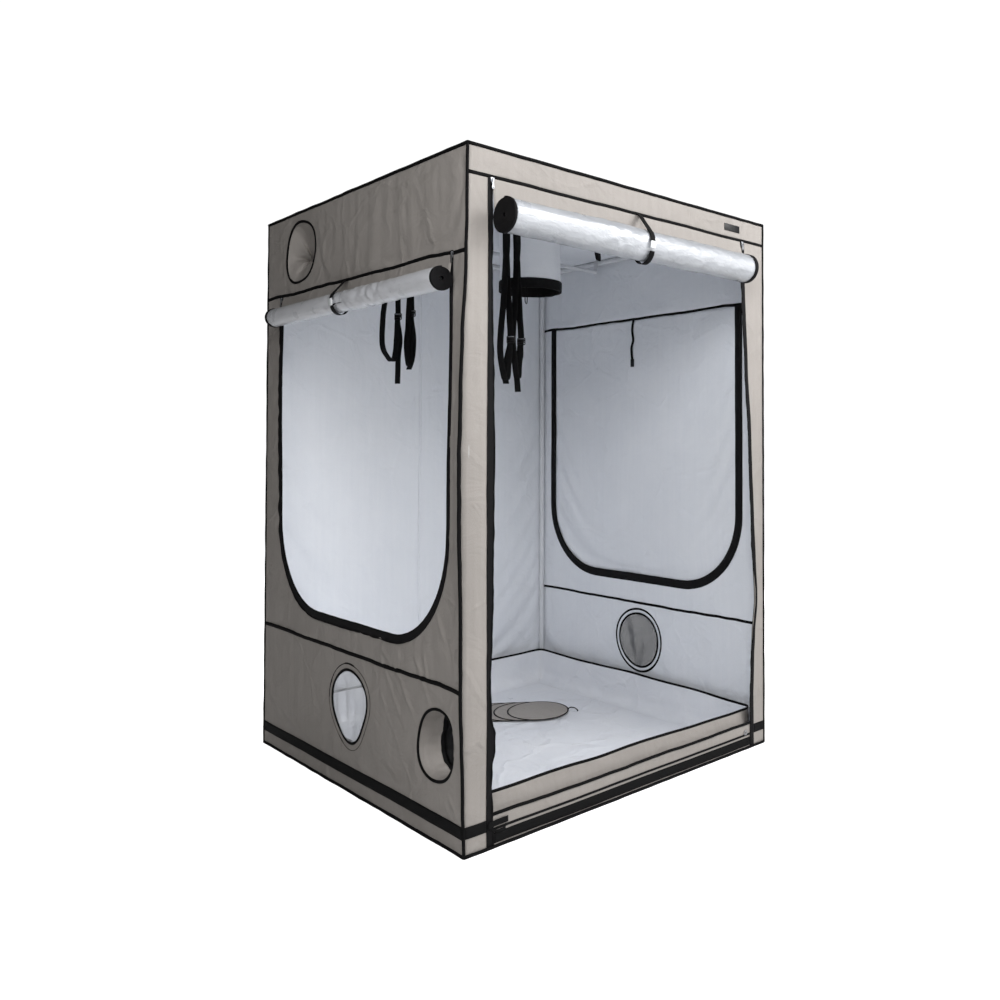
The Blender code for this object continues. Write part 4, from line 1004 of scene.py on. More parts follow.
def spiral_path(outer, inner, length):
    """Points round a spiral of a given length, in the YZ plane, from its top."""
    turns = spiral_turns(outer, inner, length)
    count = round(turns * 40)
    points = []
    for step in range(count + 1):
        share = step / count
        turn = pi / 2 + 2 * pi * turns * share
        radius = (outer + (inner - outer) * share) / 2
        points.append(Vector((0, radius * cos(turn), radius * ROLL_FLAT * sin(turn))))
    return points


def wrinkle(roll, outer, seed, long, short, depth, busy):
    """Press wrinkles into the outer turns. Busy says how wrinkled the roll is at a place along it."""
    for vert in roll.verts:
        out = Vector((0, vert.co.y, vert.co.z))
        around = 0.03 * (3 * vert.co.y + 5 * vert.co.z) / outer
        pull = depth * folds_at(vert.co.x, around, seed, long, short, 0.25)
        pull += 0.6 * depth * folds_at(vert.co.x, around, seed + 3, long * 0.4, short * 0.7, -0.5)
        loose = 0.0025 * noise.noise(Vector((vert.co.x / 0.35, vert.co.y / outer, seed)))
        outermost = smooth_share((out.length * 2 / outer - 0.75) / 0.2)
        vert.co += out.normalized() * (pull * busy(vert.co.x) + loose) * outermost


def roll_door(name, wall, centre, outer, inner, length, ends, white, seed, wrinkles, body, node):
    """A door wound into a roll: the white sheet, and the tape that shows at both ends."""
    turn = Matrix.Rotation(-pi / 2 if wall == "left" else 0.0, 3, "Z")
    middle = (ends[0] + ends[1]) / 2
    place = Vector((centre[0], middle, centre[1])) if wall == "left" else Vector((middle, centre[0], centre[1]))
    if wall == "left":  # turned by a quarter, so that the roll's own X runs towards -Y
        white = (2 * middle - white[1], 2 * middle - white[0])
        ends = (2 * middle - ends[1], 2 * middle - ends[0])
    path = spiral_path(outer - 0.002, inner, length)
    turns = spiral_turns(outer, inner, length)
    # The tape runs on to the small core, and its strips are made thick: that black is painted shade in the roll's
    # hollow and between its turns
    tape_length = pi * (outer + SHADE_FILLING_CORE) / 2 * turns * (outer - SHADE_FILLING_CORE) / (outer - inner)
    tape_path = spiral_path(outer, SHADE_FILLING_CORE, tape_length)
    width = white[1] - white[0]
    roll, edges = bmesh.new(), bmesh.new()
    shifted = [point + RIGHT * ((white[0] + white[1]) / 2 - middle) for point in path]
    follow(roll, shifted, RIGHT, flat_section(width), round(width / 0.012))
    wrinkle(roll, outer, seed, *wrinkles)
    for low, high in ((ends[0], white[0] + 0.004), (white[1] - 0.004, ends[1])):
        inside = [point + RIGHT * ((low + high) / 2 - middle) for point in tape_path]
        follow(edges, inside, RIGHT, flat_section(high - low), 3)
    for mesh, piece_name, finish, slot, thick in (
            (roll, name, rolled_linings[wall], "white_lining", 0.0010),
            (edges, name + "_tape", zip_tape, "black_binding", 0.46 * (outer - inner) / turns)):
        waver(mesh.verts, 0.0012, 0.12, seed)
        bmesh.ops.rotate(mesh, verts=mesh.verts, cent=(0, 0, 0), matrix=turn)
        bmesh.ops.translate(mesh, vec=place, verts=mesh.verts)
        piece = make_piece(piece_name, mesh, [finish], body=body, thickness=thick, offset=0.0,
                           stands_for=[node] if mesh is roll else ())
        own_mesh(piece)
    print(name, "sheet", round(width, 3), "x", round(length, 3))


# %% The two rolls
roll_door("front_door_rolled", "front", (-0.8186, 1.969), 0.116, 0.056, 1.84, (-0.661, 0.546), (-0.656, 0.530),
          31, (0.15, 0.016, 0.0045, lambda along: 0.6 + 0.4 * smooth_share((0.45 - abs(along)) / 0.3)),
          "front_door", "front_door_roll")
roll_door("left_door_rolled", "left", (-0.7998, 1.7718), 0.077, 0.036, 1.12, (-0.690, 0.552), (-0.684, 0.543),
          33, (0.024, 0.12, 0.0055, lambda along: smooth_share((0.36 - abs(along - 0.12)) / 0.25)),
          "left_door", "left_door_roll")


# %% Door cloth between seam and roll
def hang_curtain(name, wall, left, right, seam, foot, out, seed, node):
    """The stretch of door that still hangs from its seam and goes in behind the roll."""
    cloth = flat_cloth(left, right, foot, seam - 0.0003, 0.012)
    mark_threads(cloth)
    for vert in cloth.verts:
        share = (seam - vert.co.y) / (seam - foot)
        vert.co.z += out * share
        vert.co.z += 0.003 * folds_at(vert.co.x, vert.co.y, seed, 0.05, 0.3) * smooth_share(share * 2)
    stand_up(cloth, wall, EDGE)
    piece = make_piece(name, cloth, [oxford_cloth, lining], body=None,
                       thickness=CLOTH_THICKNESS, offset=0.0, stands_for=[node])
    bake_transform(piece)


hang_curtain("front_door_hanging", "front", -0.653, 0.598, HEADER_Z, 1.968, 0.0143, 41,
             "front_door_curtain")
hang_curtain("left_door_hanging", "left", -0.665, 0.600, SIDE_SEAM_Z, 1.771, 0.0143, 43,
             "left_door_curtain")

# %% [markdown]
# ## Duct sleeves
# Each port has a sleeve of the same cloth sewn round it, with the greige side towards the duct, pulled shut
# or left open by a drawcord in a black hem. A sleeve is a strip whose cross section is the port's own
# outline and whose path is the sleeve's axis. Dents and a soft fold keep it from looking like a pipe.


# %% Open sleeves
INNER_HEM = 0.052  # the band is folded in, and inside the sleeve it shows this wide


def dented(mesh, middle, inner, length, dent, seed):
    """Push a tube inwards here and there, more towards its free end."""
    for vert in mesh.verts:
        reach = (vert.co - middle).dot(inner) / length
        out = (vert.co - middle - inner * (reach * length)).normalized()
        push = noise.noise(out * 1.6 + inner * reach * 1.5 + Vector((seed, 0, 0)))
        push += 0.4 * noise.noise(out * 5 + inner * reach * 4 + Vector((seed + 5, 0, 0)))
        vert.co += out * dent * (push - 0.35) * smooth_share(reach * 1.6)


def sew_sleeve(name, node, middle, across, inner, port, length, hem, dent, seed):
    """An open sleeve that goes inwards from its port, and the black hem at its free end."""
    radius, sway = port[2] - 0.0006, port[3]

    def outline(extra):
        """The port's outline as a cross section."""
        return lambda share, reach: tuple((radius + extra) * sway_at(2 * pi * share, sway) * part(2 * pi * share)
                                          for part in (cos, sin))

    sleeve, band = bmesh.new(), bmesh.new()
    follow(sleeve, even_steps([middle, middle + inner * (length - hem + 0.006)], 0.008), across, outline(0.0), 96)
    follow(band, even_steps([middle + inner * (length - hem), middle + inner * length], 0.006), across,
           outline(0.0016), 96)
    follow(band, even_steps([middle + inner * (length - INNER_HEM), middle + inner * length], 0.006), across,
           outline(-0.0034), 96)
    for mesh in (sleeve, band):
        bmesh.ops.remove_doubles(mesh, verts=mesh.verts, dist=1e-4)
        dented(mesh, middle, inner, length, dent, seed)
        bmesh.ops.recalc_face_normals(mesh, faces=mesh.faces)
    for vert in band.verts:  # the hem's edge is cut a little unevenly
        reach = (vert.co - middle).dot(inner) / length
        around = Vector((vert.co - middle - inner * reach * length)).normalized()
        vert.co += inner * 0.003 * noise.noise(around * 3 + Vector((seed, 0, 0))) * smooth_share((reach - 0.9) * 8)
    cloth = make_piece(name, sleeve, [lining, oxford_cloth], thickness=0.0010, stands_for=[node])
    make_piece(name + "_hem", band, [webbing], thickness=0.0030, offset=0.0)


lower, top = PORTS["left"]["lower"], PORTS["roof"]["top"]
sew_sleeve("lower_duct_sleeve", "lower_duct_sock", Vector((-WALL_FACE, *lower[:2])), BACK, RIGHT, lower,
           0.149, 0.074, 0.016, 51)
sew_sleeve("roof_duct_sleeve", "roof_duct_sock", Vector((*top[:2], 2.1950)), RIGHT, Vector((0, 0, -1)), top,
           0.278, 0.042, 0.005, 53)

# %% The drawcord of the roof sleeve
drawcord = bmesh.new()
start = Vector((top[0] - 0.098, -0.094, 1.925))
cord_line = bend(start, ((0, 0, 0), (-0.006, -0.006, -0.030), (-0.004, -0.004, -0.070), (0.006, -0.002, -0.078),
                         (0.010, 0.0, -0.040), (0.008, 0.002, 0.0)), 0.005)
bead(drawcord, cord_line, Vector((0.7, 0.7, 0)), 0.0022, sides=6)
make_piece("roof_sleeve_drawcord", drawcord, [webbing])

# %% The upper sleeve, pulled shut
UPPER_DEPTH, THROAT = 0.092, 0.016
upper = PORTS["left"]["upper"]
port_middle = Vector((-WALL_FACE, *upper[:2]))
shut_path = [port_middle + Vector((UPPER_DEPTH * t, 0.075 * t * t, -0.020 * t * t))
             for t in [step / 18 for step in range(19)]]


def gathered(share, reach):
    """The port's outline, shrinking to the throat in a few deep folds."""
    turn = 2 * pi * share
    wide = (upper[2] - 0.001) * sway_at(turn, upper[3]) * (1 - smooth_share(reach * 0.98) ** 0.8) + THROAT * reach
    fold = 0.020 * smooth_share(reach * 1.6) * cos(4 * turn + 1.8 * sin(turn)) * min(1.0, wide / 0.06)
    fold += 0.004 * smooth_share(reach * 1.6) * cos(13 * turn) * min(1.0, wide / 0.05)
    return (wide + fold) * cos(turn), (wide + fold) * sin(turn)


shut = bmesh.new()
follow(shut, shut_path, BACK, gathered, 128)
bmesh.ops.remove_doubles(shut, verts=shut.verts, dist=1e-4)
bmesh.ops.recalc_face_normals(shut, faces=shut.faces)
shut_sleeve = make_piece("upper_duct_sleeve", shut, [lining, oxford_cloth], thickness=0.0010,
                         stands_for=["upper_duct_sock"])
tie = bmesh.new()
bead(tie, ring_path(shut_path[-2], BACK, UP, THROAT + 0.006, spacing=0.004), RIGHT, 0.0022, sides=6)
make_piece("upper_sleeve_tie", tie, [webbing])

# %% [markdown]
# ## Round trim
# Ports and vents are edged with black binding. A row of stitching runs round each vent a little further out,
# and inside the right wall it is a second binding.

# %% Port rings
trim, stitches = bmesh.new(), bmesh.new()
for wall, ports in PORTS.items():
    across, up, outwards = WALLS[wall]
    face = ROOF_FACE if wall == "roof" else WALL_FACE
    for port_name, (side, height, radius, sway) in ports.items():
        middle = across * side + up * height
        outside, inside = both_faces(face)
        for reach in (outside, inside):
            bead(trim, ring_path(middle + outwards * reach, across, up, radius + 0.001, sway), outwards,
                 0.0020, 0.0050)
        if port_name == "vent":
            bead(stitches, ring_path(middle + outwards * (face + 0.0004), across, up, radius + 0.024, sway), outwards,
                 0.0008, 0.0010, 6)
            bead(trim, ring_path(middle + outwards * inside, across, up, radius + 0.023, sway), outwards,
                 0.0018, 0.0050)
waver(trim.verts, 0.0008, 0.09, 61)
make_piece("port_binding", trim, [binding])
make_piece("vent_stitching", stitches, [webbing])


# %% Vent nets
def weave_net(name, wall, port, node, finish, thread):
    """A real net: a grid of threads, 3.5 mm apart instead of the real 1 mm, so that it shows at this distance."""
    side, height, radius, sway = port
    net = flat_cloth(side - radius, side + radius, height - radius, height + radius, 0.0035)
    cut_out(net, round_edge(side, height, radius - 0.001, sway), 0.0035, keep_inside=True)
    mark_threads(net)
    for vert in net.verts:
        vert.co.z += 0.004 * folds_at(vert.co.x, vert.co.y, 63, 0.16, 0.05, pi / 2)
    stand_up(net, wall, WALL_FACE - 0.0006)
    piece = make_piece(name, net, [finish], stands_for=[node])
    threads = piece.modifiers.new("threads", "WIREFRAME")
    threads.thickness = thread
    threads.use_boundary = True


# The left net's light thread is painted light and the right net's dark thread is painted shade: both stand for the
# same net
weave_net("left_vent_net", "left", PORTS["left"]["vent"], "left_vent_mesh", net_with_painted_light, 0.0010)
weave_net("right_vent_net", "right", PORTS["right"]["vent"], "right_vent_mesh", net_with_painted_shade, 0.0027)

# %% [markdown]
# ## Spill tray
# The tray is a loose floor of heavy white vinyl with a soft wall all round and a bound rim. It was folded
# flat in its carton, so crossed creases and broad, shallow swells stay in the floor. The swells come from a
# Cloth run: the sheet is a little too large, so it lifts where it finds no room, and the ground stops it
# from sinking.

# %% Tray floor
TRAY_HALF, TRAY_TOP, TRAY_ROUND = 0.7105, 0.158, 0.055
FOLDS = (((-0.70, 0.06), (0.70, -0.02)), ((0.03, 0.70), (-0.02, -0.70)), ((-0.65, -0.36), (0.20, -0.42)),
         ((-0.34, -0.68), (-0.38, 0.10)), ((0.10, -0.20), (0.66, -0.52)), ((-0.60, -0.60), (0.05, -0.10)))
FLOOR_HALF, FLOOR_Z = TRAY_HALF - TRAY_ROUND + 0.010, 0.0036
SWELL, FOLD_HEIGHT, FOLD_HALF = 0.0035, 0.0055, 0.020
floor_cloth = flat_cloth(-FLOOR_HALF, FLOOR_HALF, -FLOOR_HALF, FLOOR_HALF, 0.012)
mark_threads(floor_cloth)
edge_verts = {vert for vert in floor_cloth.verts if vert.is_boundary}
stand_up(floor_cloth, "roof", FLOOR_Z)
let_sag(floor_cloth, edge_verts, spare=0.0008, cap=0.008, stiff=4.0)
for vert in floor_cloth.verts:
    across, up = vert.co.xy
    fade = smooth_share((FLOOR_HALF - max(abs(across), abs(up))) / 0.06)
    swell = SWELL + 0.0045 * folds_at(across, up, 71, 0.5, 0.16, 0.6)
    swell += 0.0025 * folds_at(across, up, 72, 0.2, 0.07, -0.3)
    for first, second in FOLDS:
        away = (beside(Vector(first), Vector(second), vert.co.xy)[0] - vert.co.xy).length
        swell += FOLD_HEIGHT * max(0.0, 1 - away / FOLD_HALF)
    vert.co.z = 0.0030 + max(0.0, vert.co.z - FLOOR_Z + swell) * fade
tray_floor = make_piece("spill_tray_floor", floor_cloth, [tray_vinyl], thickness=0.0009,
                        stands_for=["spill_tray"])

# %% Tray wall and rim
TRAY_CORNER = 0.032
loop = []
for turn in range(4):
    middle = Matrix.Rotation(turn * pi / 2, 3, "Z") @ Vector((TRAY_HALF - TRAY_CORNER, TRAY_HALF - TRAY_CORNER, 0))
    for step in range(7):
        angle = turn * pi / 2 + step * pi / 12
        loop.append(middle + Vector((TRAY_CORNER * cos(angle), TRAY_CORNER * sin(angle), 0)))
loop = even_steps(loop + [loop[0]], 0.014)
TRAY_DROP = TRAY_TOP - TRAY_ROUND
TRAY_GIRTH = TRAY_DROP + pi / 2 * TRAY_ROUND


def tray_wall_section(share, reach):
    """From the rim down, and in a quarter circle into the floor."""
    down = TRAY_GIRTH * (0.5 - share)
    if down < TRAY_DROP:
        return TRAY_TOP - down + 0.003, 0.0
    turn = (down - TRAY_DROP) / TRAY_ROUND
    return TRAY_ROUND * (1 - sin(turn)) + 0.0016, -TRAY_ROUND * (1 - cos(turn))


tray_side = bmesh.new()
follow(tray_side, loop, UP, tray_wall_section, 18)
for vert in tray_side.verts:
    rise = smooth_share(vert.co.z / TRAY_TOP)
    inwards = Vector((-vert.co.x, -vert.co.y, 0)).normalized()
    around = vert.co.x * 1.3 - vert.co.y
    vert.co += inwards * rise * 0.6 * (0.006 + 0.007 * folds_at(around, vert.co.z, 75, 0.20, 0.5))
    vert.co.z += rise * 0.006 * noise.noise(Vector((around / 0.35, 0, 77)))
    if vert.co.y < -TRAY_HALF + 0.05:  # the front wall bulges over the sill and dips towards the right
        belly = smooth_share(1 - abs(2 * vert.co.z / TRAY_TOP - 1.1))
        vert.co.y -= 0.016 * belly * smooth_share((0.69 - abs(vert.co.x)) / 0.06)
    near = smooth_share((0.40 - vert.co.y - TRAY_HALF) / 0.40)
    vert.co.z -= 0.010 * rise * near * smooth_share((vert.co.x + 0.2) / 0.8)
rim_line = [vert.co.copy() for vert in tray_side.verts if vert.is_boundary and vert.co.z > 0.1]
rim_line.sort(key=lambda place: Vector((1, 0)).angle_signed(place.xy))
rim = bmesh.new()
bead(rim, rim_line + [rim_line[0]], UP, 0.0054, 0.0030)
tray_wall = make_piece("spill_tray_wall", tray_side, [oxford_cloth, tray_vinyl], thickness=0.0010)
make_piece("spill_tray_rim", rim, [binding])
print("tray loop", round(measured(loop)[-1], 3), "metres")

# %% [markdown]
# ## Vent covers
# Four round covers lie on the tray in a fan. Each is a disc of cover cloth with a bound edge and, on the top
# one, the short cord that it is pulled off by.

# %% Vent covers
COVERS = {"vent_cover_bottom": 0.0040, "vent_cover_lower": 0.0063, "vent_cover_upper": 0.0086,
          "vent_cover_top": 0.0109}
for level, (node, height) in enumerate(COVERS.items()):
    low_corner, high_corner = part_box(node)
    middle = (low_corner + high_corner) / 2
    radius = (high_corner.x - low_corner.x) / 2
    disc = flat_cloth(-radius, radius, -radius, radius, 0.012)
    cut_out(disc, round_edge(0, 0, radius - 0.001), 0.012, keep_inside=True)
    mark_threads(disc)
    for vert in disc.verts:
        vert.co.z += 0.0012 * folds_at(vert.co.x, vert.co.y, 90 + level, 0.3, 0.15) + 0.0010
    bmesh.ops.translate(disc, vec=(middle.x, middle.y, height + 0.0008), verts=disc.verts)
    cover = make_piece(node + "_cloth", disc, [oxford_cloth], body="vent_covers",
                       thickness=0.0012, stands_for=[node])
    edging = bmesh.new()
    centre = Vector((middle.x, middle.y, height + 0.0018))
    bead(edging, ring_path(centre, RIGHT, BACK, radius - 0.003), UP, 0.0014, 0.0034, 6)
    if node == "vent_cover_top":
        start = centre + Vector((0.098, -0.098, 0))
        pull_loop = bend(start, ((0, 0, 0), (0.016, 0.002, 0.010), (0.032, -0.014, 0.008), (0.034, -0.032, 0.001),
                                 (0.026, -0.040, 0.001)))
        bead(edging, pull_loop, UP, 0.0028, sides=6)
    make_piece(node + "_edging", edging, [binding], body="vent_covers")
print("covers", len(COVERS))

# %% [markdown]
# ## Frame and sliders
# The tubes, their corner pieces, the crossbars and the zip sliders have their true shape already, so they
# keep it and only get their finish.

# %% Finishes for the rigid pieces
for name, node in nodes.items():
    if name.startswith(("post_", "bottom_rail", "top_rail", "corner_", "crossbar_")):
        node.material_slots[0].material = powder_coat
    elif "_slider_" in name:
        node.material_slots[0].material = cast_zinc
print("rigid pieces finished")

# %% [markdown]
# ## Hanging belts
# Each crossbar carries two webbing belts for the lamp. One length of webbing starts at its buckle, goes over
# the bar, hangs down in a long loop, comes back up to the buckle and leaves it as a loose tail. Over the bar
# the webbing faces forwards; below it twists by a quarter turn, as belts under no load do.

# %% Hanging belts
BAR_Z, OVER_BAR = 2.1309, 0.0113  # the crossbars' height, and the radius of the webbing's way over them
BELTS = {  # bar's Y, place on the bar, buckle, left run from the bar to the bottom of the loop, tail
    "hanging_belt_front_left": (-0.290, -0.262, (-0.240, 1.662), ((-0.278, 1.80), (-0.292, 1.63), (-0.274, 1.52)),
                                ((-0.246, 1.60), (-0.258, 1.53), (-0.252, 1.492))),
    "hanging_belt_front_right": (-0.290, -0.212, (-0.190, 1.658), ((-0.224, 1.80), (-0.232, 1.66), (-0.216, 1.53)),
                                 ((-0.186, 1.60), (-0.202, 1.54), (-0.196, 1.463))),
    "hanging_belt_back_left": (0.280, -0.400, (-0.396, 1.792), ((-0.455, 1.87), (-0.470, 1.68), (-0.440, 1.615)),
                               ((-0.380, 1.70), (-0.388, 1.62), (-0.390, 1.512))),
    "hanging_belt_back_right": (0.280, -0.338, (-0.331, 1.812), ((-0.350, 1.78), (-0.358, 1.68), (-0.350, 1.602)),
                                ((-0.316, 1.70), (-0.322, 1.62), (-0.338, 1.575))),
}


def ladder_lock(mesh, middle, side, wide, tall, thick):
    """A ladder-lock buckle: a rounded frame with two crossbars between which the webbing is pinched."""
    corners = [(-1, -1), (1, -1), (1, 1), (-1, 1), (-1, -1)]
    frame_line = [middle + side * (across * wide / 2) + UP * (rise * tall / 2) for across, rise in corners]
    out = side.cross(UP)
    bead(mesh, even_steps(frame_line, 0.004), out, thick / 2)
    for rise in (-0.12, 0.16):
        ends = [middle + side * (across * wide / 2) + UP * (rise * tall) for across in (-1, 1)]
        bead(mesh, ends, UP, thick * 0.42)


for name, (y, x, (lock_x, lock_z), loop_points, tail_points) in BELTS.items():
    over = [Vector((x, y + OVER_BAR * cos(turn), BAR_Z + OVER_BAR * sin(turn)))
            for turn in [pi * step / 8 for step in range(9)]]
    down = [Vector((px, y - 0.003, pz)) for px, pz in loop_points]
    lock = Vector((lock_x, y, lock_z))
    loop_z, loop_x = loop_points[-1][1], (loop_points[-1][0] + lock_x) / 2
    bottom = [Vector((loop_x, y, loop_z - 0.008)), Vector((lock_x - 0.008, y + 0.003, loop_z + 0.045))]
    tail = [Vector((px, y + 0.012, pz)) for px, pz in tail_points]
    path = smooth_path([lock, Vector((x + 0.004, y + 0.008, 2.00)), *over, Vector((x - 0.004, y - 0.008, 2.02)),
                        *down, *bottom, lock + Vector((0, 0.003, 0)), lock + Vector((0.003, 0.009, -0.02)), *tail])
    crown = max(range(len(path)), key=lambda step: path[step].z)
    across = []
    for step, point in enumerate(path):
        twist = smooth_share((2.09 - point.z) / 0.20) * radians(62)
        across.append(Vector((cos(twist), sin(twist) * (-1 if step < crown else 1), 0)))
    for step in range(crown, len(path)):  # past the bar the webbing keeps to one side of its loop
        across[step] = Vector((across[step].x, -abs(across[step].y), 0))
    sew_webbing(name + "_webbing", path, across, 0.025, name, 0.0018, [name], (0.0012, 0.06, x * 10))
    side = across[0].normalized()
    buckle, pin = bmesh.new(), bmesh.new()
    ladder_lock(buckle, lock, side, 0.031, 0.024, 0.0046)
    make_piece(name + "_buckle", buckle, [black_acetal], body=name)
    bead(pin, [lock + side * 0.013 + UP * 0.011, lock - side * 0.013 + UP * 0.011], UP, 0.0022)
    make_piece(name + "_pin", pin, [cast_zinc], body=name)
loop_line = bend(Vector((0, 0, 0)), ((0.205, -0.290, 2.1425), (0.203, -0.303, 2.128), (0.202, -0.304, 2.080),
                                     (0.208, -0.298, 2.036), (0.214, -0.284, 2.040), (0.212, -0.276, 2.085),
                                     (0.207, -0.277, 2.128), (0.205, -0.290, 2.1425)))
sew_webbing("crossbar_spare_loop", loop_line, Vector((1, 0.3, 0)), 0.030, "crossbar_front", 0.0020)
print("belts", len(BELTS))

# %% [markdown]
# ## Roll straps
# Two halves of webbing hang from each seam, one on either side of the door, and meet round the roll in a
# small clear side-release buckle. The strap pulls the roll aside a little, so it runs at a slant. On the
# closed door both halves hang straight down, one inside and one outside.


# %% Roll straps
def clip_body(mesh, middle, up, out, wide, tall, thick):
    """A side-release buckle: a block with rounded edges."""
    made = bmesh.ops.create_cube(mesh, size=1)["verts"]
    turn = Matrix((up.cross(out), up, out)).transposed().to_4x4()
    bmesh.ops.scale(mesh, vec=(wide, tall, thick), verts=made)
    bmesh.ops.transform(mesh, matrix=Matrix.Translation(middle) @ turn, verts=made)
    edges = list({edge for vert in made for edge in vert.link_edges})
    bmesh.ops.bevel(mesh, geom=edges, offset=thick * 0.35, offset_type="OFFSET", segments=3, profile=0.5,
                    affect="EDGES", material=-1)


def roll_strap(name, wall, place, slant, centre_out, centre_up, radius, seam, tail=()):
    """One half of a roll strap: webbing round its side of the roll, and on the outer half the buckle."""
    along, up, out = WALLS[wall]
    outer, joint = name.endswith("outer"), wall + "_door_unroll"
    centre = out * centre_out + up * centre_up
    pivot = along * place + out * (WALL_FACE + (0.0022 if outer else -0.0022)) + up * seam
    first, last = (radians(50), radians(4)) if outer else (radians(185), radians(334))
    path = [pivot]
    for step in range(21):
        share = step / 20
        turn = first + (last - first) * share
        point = centre + out * radius * cos(turn) + up * radius * sin(turn)
        begun = 0.85 if outer else 0.25  # the outer half has already come most of the way on its free stretch
        path.append(point + along * (place + slant * (begun + (1 - begun) * share)))
    path += [path[-1] + along * a + out * b + up * c for a, b, c in tail]
    path = even_steps(path, 0.006)
    piece = sew_webbing(name + "_webbing", path, along, 0.024, name, 0.0016, [name], (0.0010, 0.05, place * 7 + 1))
    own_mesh(piece)
    if outer:
        turn = radians(-6)
        middle = centre + out * (radius + 0.003) * cos(turn) + up * radius * sin(turn) + along * (place + slant)
        clip = bmesh.new()
        clip_body(clip, middle, (up * cos(turn) - out * sin(turn)).normalized(),
                  (out * cos(turn) + up * sin(turn)).normalized(), 0.024, 0.026, 0.007)
        buckle = make_piece(name + "_buckle", clip, [clear_acetal], body=name)
        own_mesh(buckle)


roll_strap("front_strap_outer", "front", 0.000, -0.066, 0.8196, 1.968, 0.0620, HEADER_Z)
roll_strap("front_strap_inner", "front", -0.012, -0.052, 0.8196, 1.968, 0.0635, HEADER_Z)
roll_strap("left_strap_outer", "left", 0.037, -0.075, 0.8006, 1.771, 0.0420, SIDE_SEAM_Z)
roll_strap("left_strap_inner", "left", 0.024, -0.062, 0.8006, 1.771, 0.0435, SIDE_SEAM_Z,
           tail=((-0.03, 0.004, 0.006), (-0.075, 0.006, 0.004)))

# %% Straps of the closed door
for name, reach, length in (("right_strap_inner", 0.7401, 0.200), ("right_strap_outer", 0.7499, 0.180)):
    path = bend(Vector((reach, 0.035, 1.868)), ((0, 0, 0), (0, 0.009, -0.05), (0, 0.002, -0.10), (0, 0.014, -0.14),
                                                (0, 0.008, -length)))
    sew_webbing(name + "_webbing", path, BACK, 0.014, name, 0.0016, [name])
    clip = bmesh.new()
    clip_body(clip, path[-1] - UP * 0.012, UP, RIGHT, 0.021, 0.038, 0.0055)
    make_piece(name + "_buckle", clip, [black_acetal], body=name)
print("straps sewn")

# %% [markdown]
# ## Bands, tag and eyelet
# A black band is sewn round the base of the walls, and a hook-and-loop band closes the foot of the front door.
# A small plain tag sits on the header: it carries no words.

# %% Bands on the sill, the base and the header
bands = bmesh.new()
left_end, right_end = front_zip_x("left", 0.05) + 0.010, front_zip_x("right", 0.05) - 0.012
BAND_END, BAND_Z, BAND_FACE = 0.744, 0.078, WALL_FACE + 0.0012
BANDS = [  # wall, foot and top of the band, its two ends, seed, wandering
    ("front", 0.017, 0.050, left_end, right_end, 81, 0.0012),
    ("front", 0.0580, 0.0660, left_end, right_end, 81, 0.0012),
    ("front", 0.060, 0.096, -BAND_END, left_end - 0.022, 81, 0.0012),
    ("front", 0.060, 0.096, right_end + 0.024, BAND_END, 81, 0.0012),
] + [(wall, 0.058, 0.098, -BAND_END, BAND_END, 82, 0.0018) for wall in ("left", "right", "back")]
for wall, low, high, start, end, seed, depth in BANDS:
    line = sewn_line((start, (low + high) / 2), (end, (low + high) / 2), LINE_STEP, seed, depth)
    follow(bands, on_wall(wall, line, BAND_FACE), UP, flat_section(high - low), 4)
for low, high, reach in ((0.072, 0.091, -0.586), (0.051, 0.060, -0.596)):  # the tab that ends the band past the zip
    middle = (low + high) / 2
    line = [Vector((left_end - 0.024, -BAND_FACE - 0.0034, BAND_Z)),
            Vector((left_end + 0.008, -BAND_FACE - 0.0040, middle)), Vector((reach, -BAND_FACE - 0.0030, middle))]
    follow(bands, smooth_path(line), UP, flat_section(high - low), 4)
bow_corner(bands)
make_piece("sewn_bands", bands, [webbing], thickness=0.0010, offset=0.0)

# %% Sill binding
sill = bmesh.new()
line = sewn_line((left_end, SILL_Z), (right_end, SILL_Z), 0.015, 83, 0.0035)
bead(sill, on_wall("front", line, BAND_FACE - 0.001), UP, 0.0058, 0.0040)
make_piece("sill_binding", sill, [binding])

# %% Tag and eyelet
tag = bmesh.new()
bmesh.ops.create_cube(tag, size=1)
bmesh.ops.scale(tag, vec=(0.096, 0.0016, 0.029), verts=tag.verts)
bmesh.ops.translate(tag, vec=(0.539, -BAND_FACE, 2.1475), verts=tag.verts)
bmesh.ops.bevel(tag, geom=tag.edges[:], offset=0.0007, offset_type="OFFSET", segments=2, profile=0.5,
                affect="EDGES", material=-1)
make_piece("header_tag", tag, [black_acetal])
eyelet = bmesh.new()
ring = ring_path(Vector((0.618, -BAND_FACE - 0.0010, 0.072)), RIGHT, UP, 0.0080, spacing=0.003)
bead(eyelet, ring, BACK, 0.0026)
make_piece("sill_eyelet", eyelet, [cast_zinc])

# %% [markdown]
# ## Studio
# A white floor, and five soft boxes in front of the tent: one to its right, one straight ahead and one high above
# its doorway light the front and the inside, and two weaker ones beyond its front left edge graze the left wall,
# so that it stays in half shade. A sixth stands behind, for the sides that the camera doesn't see.
# The room and the paper are brighter to the camera than they are to the tent, as a lit backdrop is.

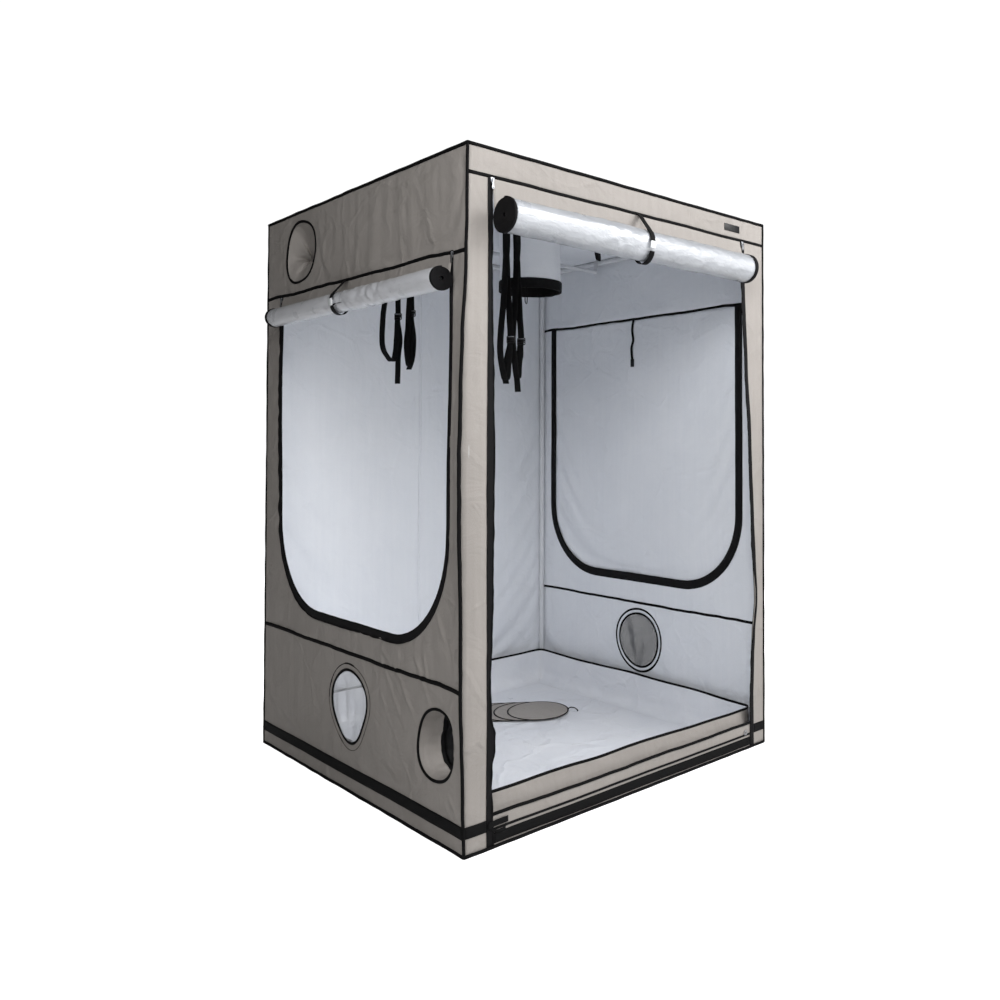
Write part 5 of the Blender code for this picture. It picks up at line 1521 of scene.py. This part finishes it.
# %% Floor and lights
paper, tree = start_material("studio_paper")
place = add_node(tree, "TexCoord", {}).outputs["Object"]
grain = add_node(tree, "TexNoise", {"Vector": place, "Scale": 40.0, "Detail": 3.0}).outputs["Fac"]
base = add_node(tree, "Mix", {0: grain, 6: colour("#F0F0F0"), 7: colour("#F6F6F6")}, data_type="RGBA").outputs[2]
seen = add_node(tree, "LightPath", {}).outputs["Is Camera Ray"]
finish_material(tree, base, 0.9, grain, 0.0001, Emission_Color=(1, 1, 1, 1), Emission_Strength=seen)
floor = bmesh.new()
bmesh.ops.create_grid(floor, x_segments=1, y_segments=1, size=30)
floor_data = bpy.data.meshes.new("studio_floor")
floor.to_mesh(floor_data)
floor.free()
floor_data.materials.append(paper)
floor_piece = bpy.data.objects.new("studio_floor", floor_data)
bpy.context.scene.collection.objects.link(floor_piece)


def soft_light(name, place, aim, size, power):
    """A square soft box."""
    light = bpy.data.objects.new(name, bpy.data.lights.new(name, "AREA"))
    light.data.size = size
    light.data.energy = power
    light.visible_camera = False
    light.location = place
    light.rotation_euler = (Vector(aim) - Vector(place)).to_track_quat("-Z", "Y").to_euler()
    bpy.context.scene.collection.objects.link(light)


SOFT_BOXES = {  # place, aim, size in metres and power in watts
    "right_soft_box": ((2.0, -3.5, 2.2), (0, -0.5, 1.2), 3.2, 74),
    "front_soft_box": ((-0.6, -4.6, 2.0), (0, -0.5, 1.3), 1.2, 10),
    "left_soft_box": ((-3.2, -2.4, 2.4), (0, -0.5, 1.2), 1.8, 29),
    "doorway_soft_box": ((1.2, -2.6, 3.4), (0, -0.5, 1.2), 1.6, 64),
    "corner_soft_box": ((-1.6, -2.6, 2.8), (0, -0.5, 1.2), 1.0, 36),
    "back_soft_box": ((3.0, 4.2, 3.2), (0, 0, 1.2), 2.4, 220),
}
for name, settings in SOFT_BOXES.items():
    soft_light(name, *settings)
world = bpy.data.worlds.new("white_room")
world.use_nodes = True
world.node_tree.nodes.clear()
seen = add_node(world.node_tree, "LightPath", {}).outputs["Is Camera Ray"]
strength = add_node(world.node_tree, "MapRange", {0: seen, 3: 0.05, 4: 1.05}).outputs[0]
room = add_node(world.node_tree, "Background", {"Color": (1, 1, 1, 1), "Strength": strength})
add_node(world.node_tree, "OutputWorld", {"Surface": room.outputs["Background"]})
bpy.context.scene.world = world
bpy.context.scene.view_settings.view_transform = "Standard"
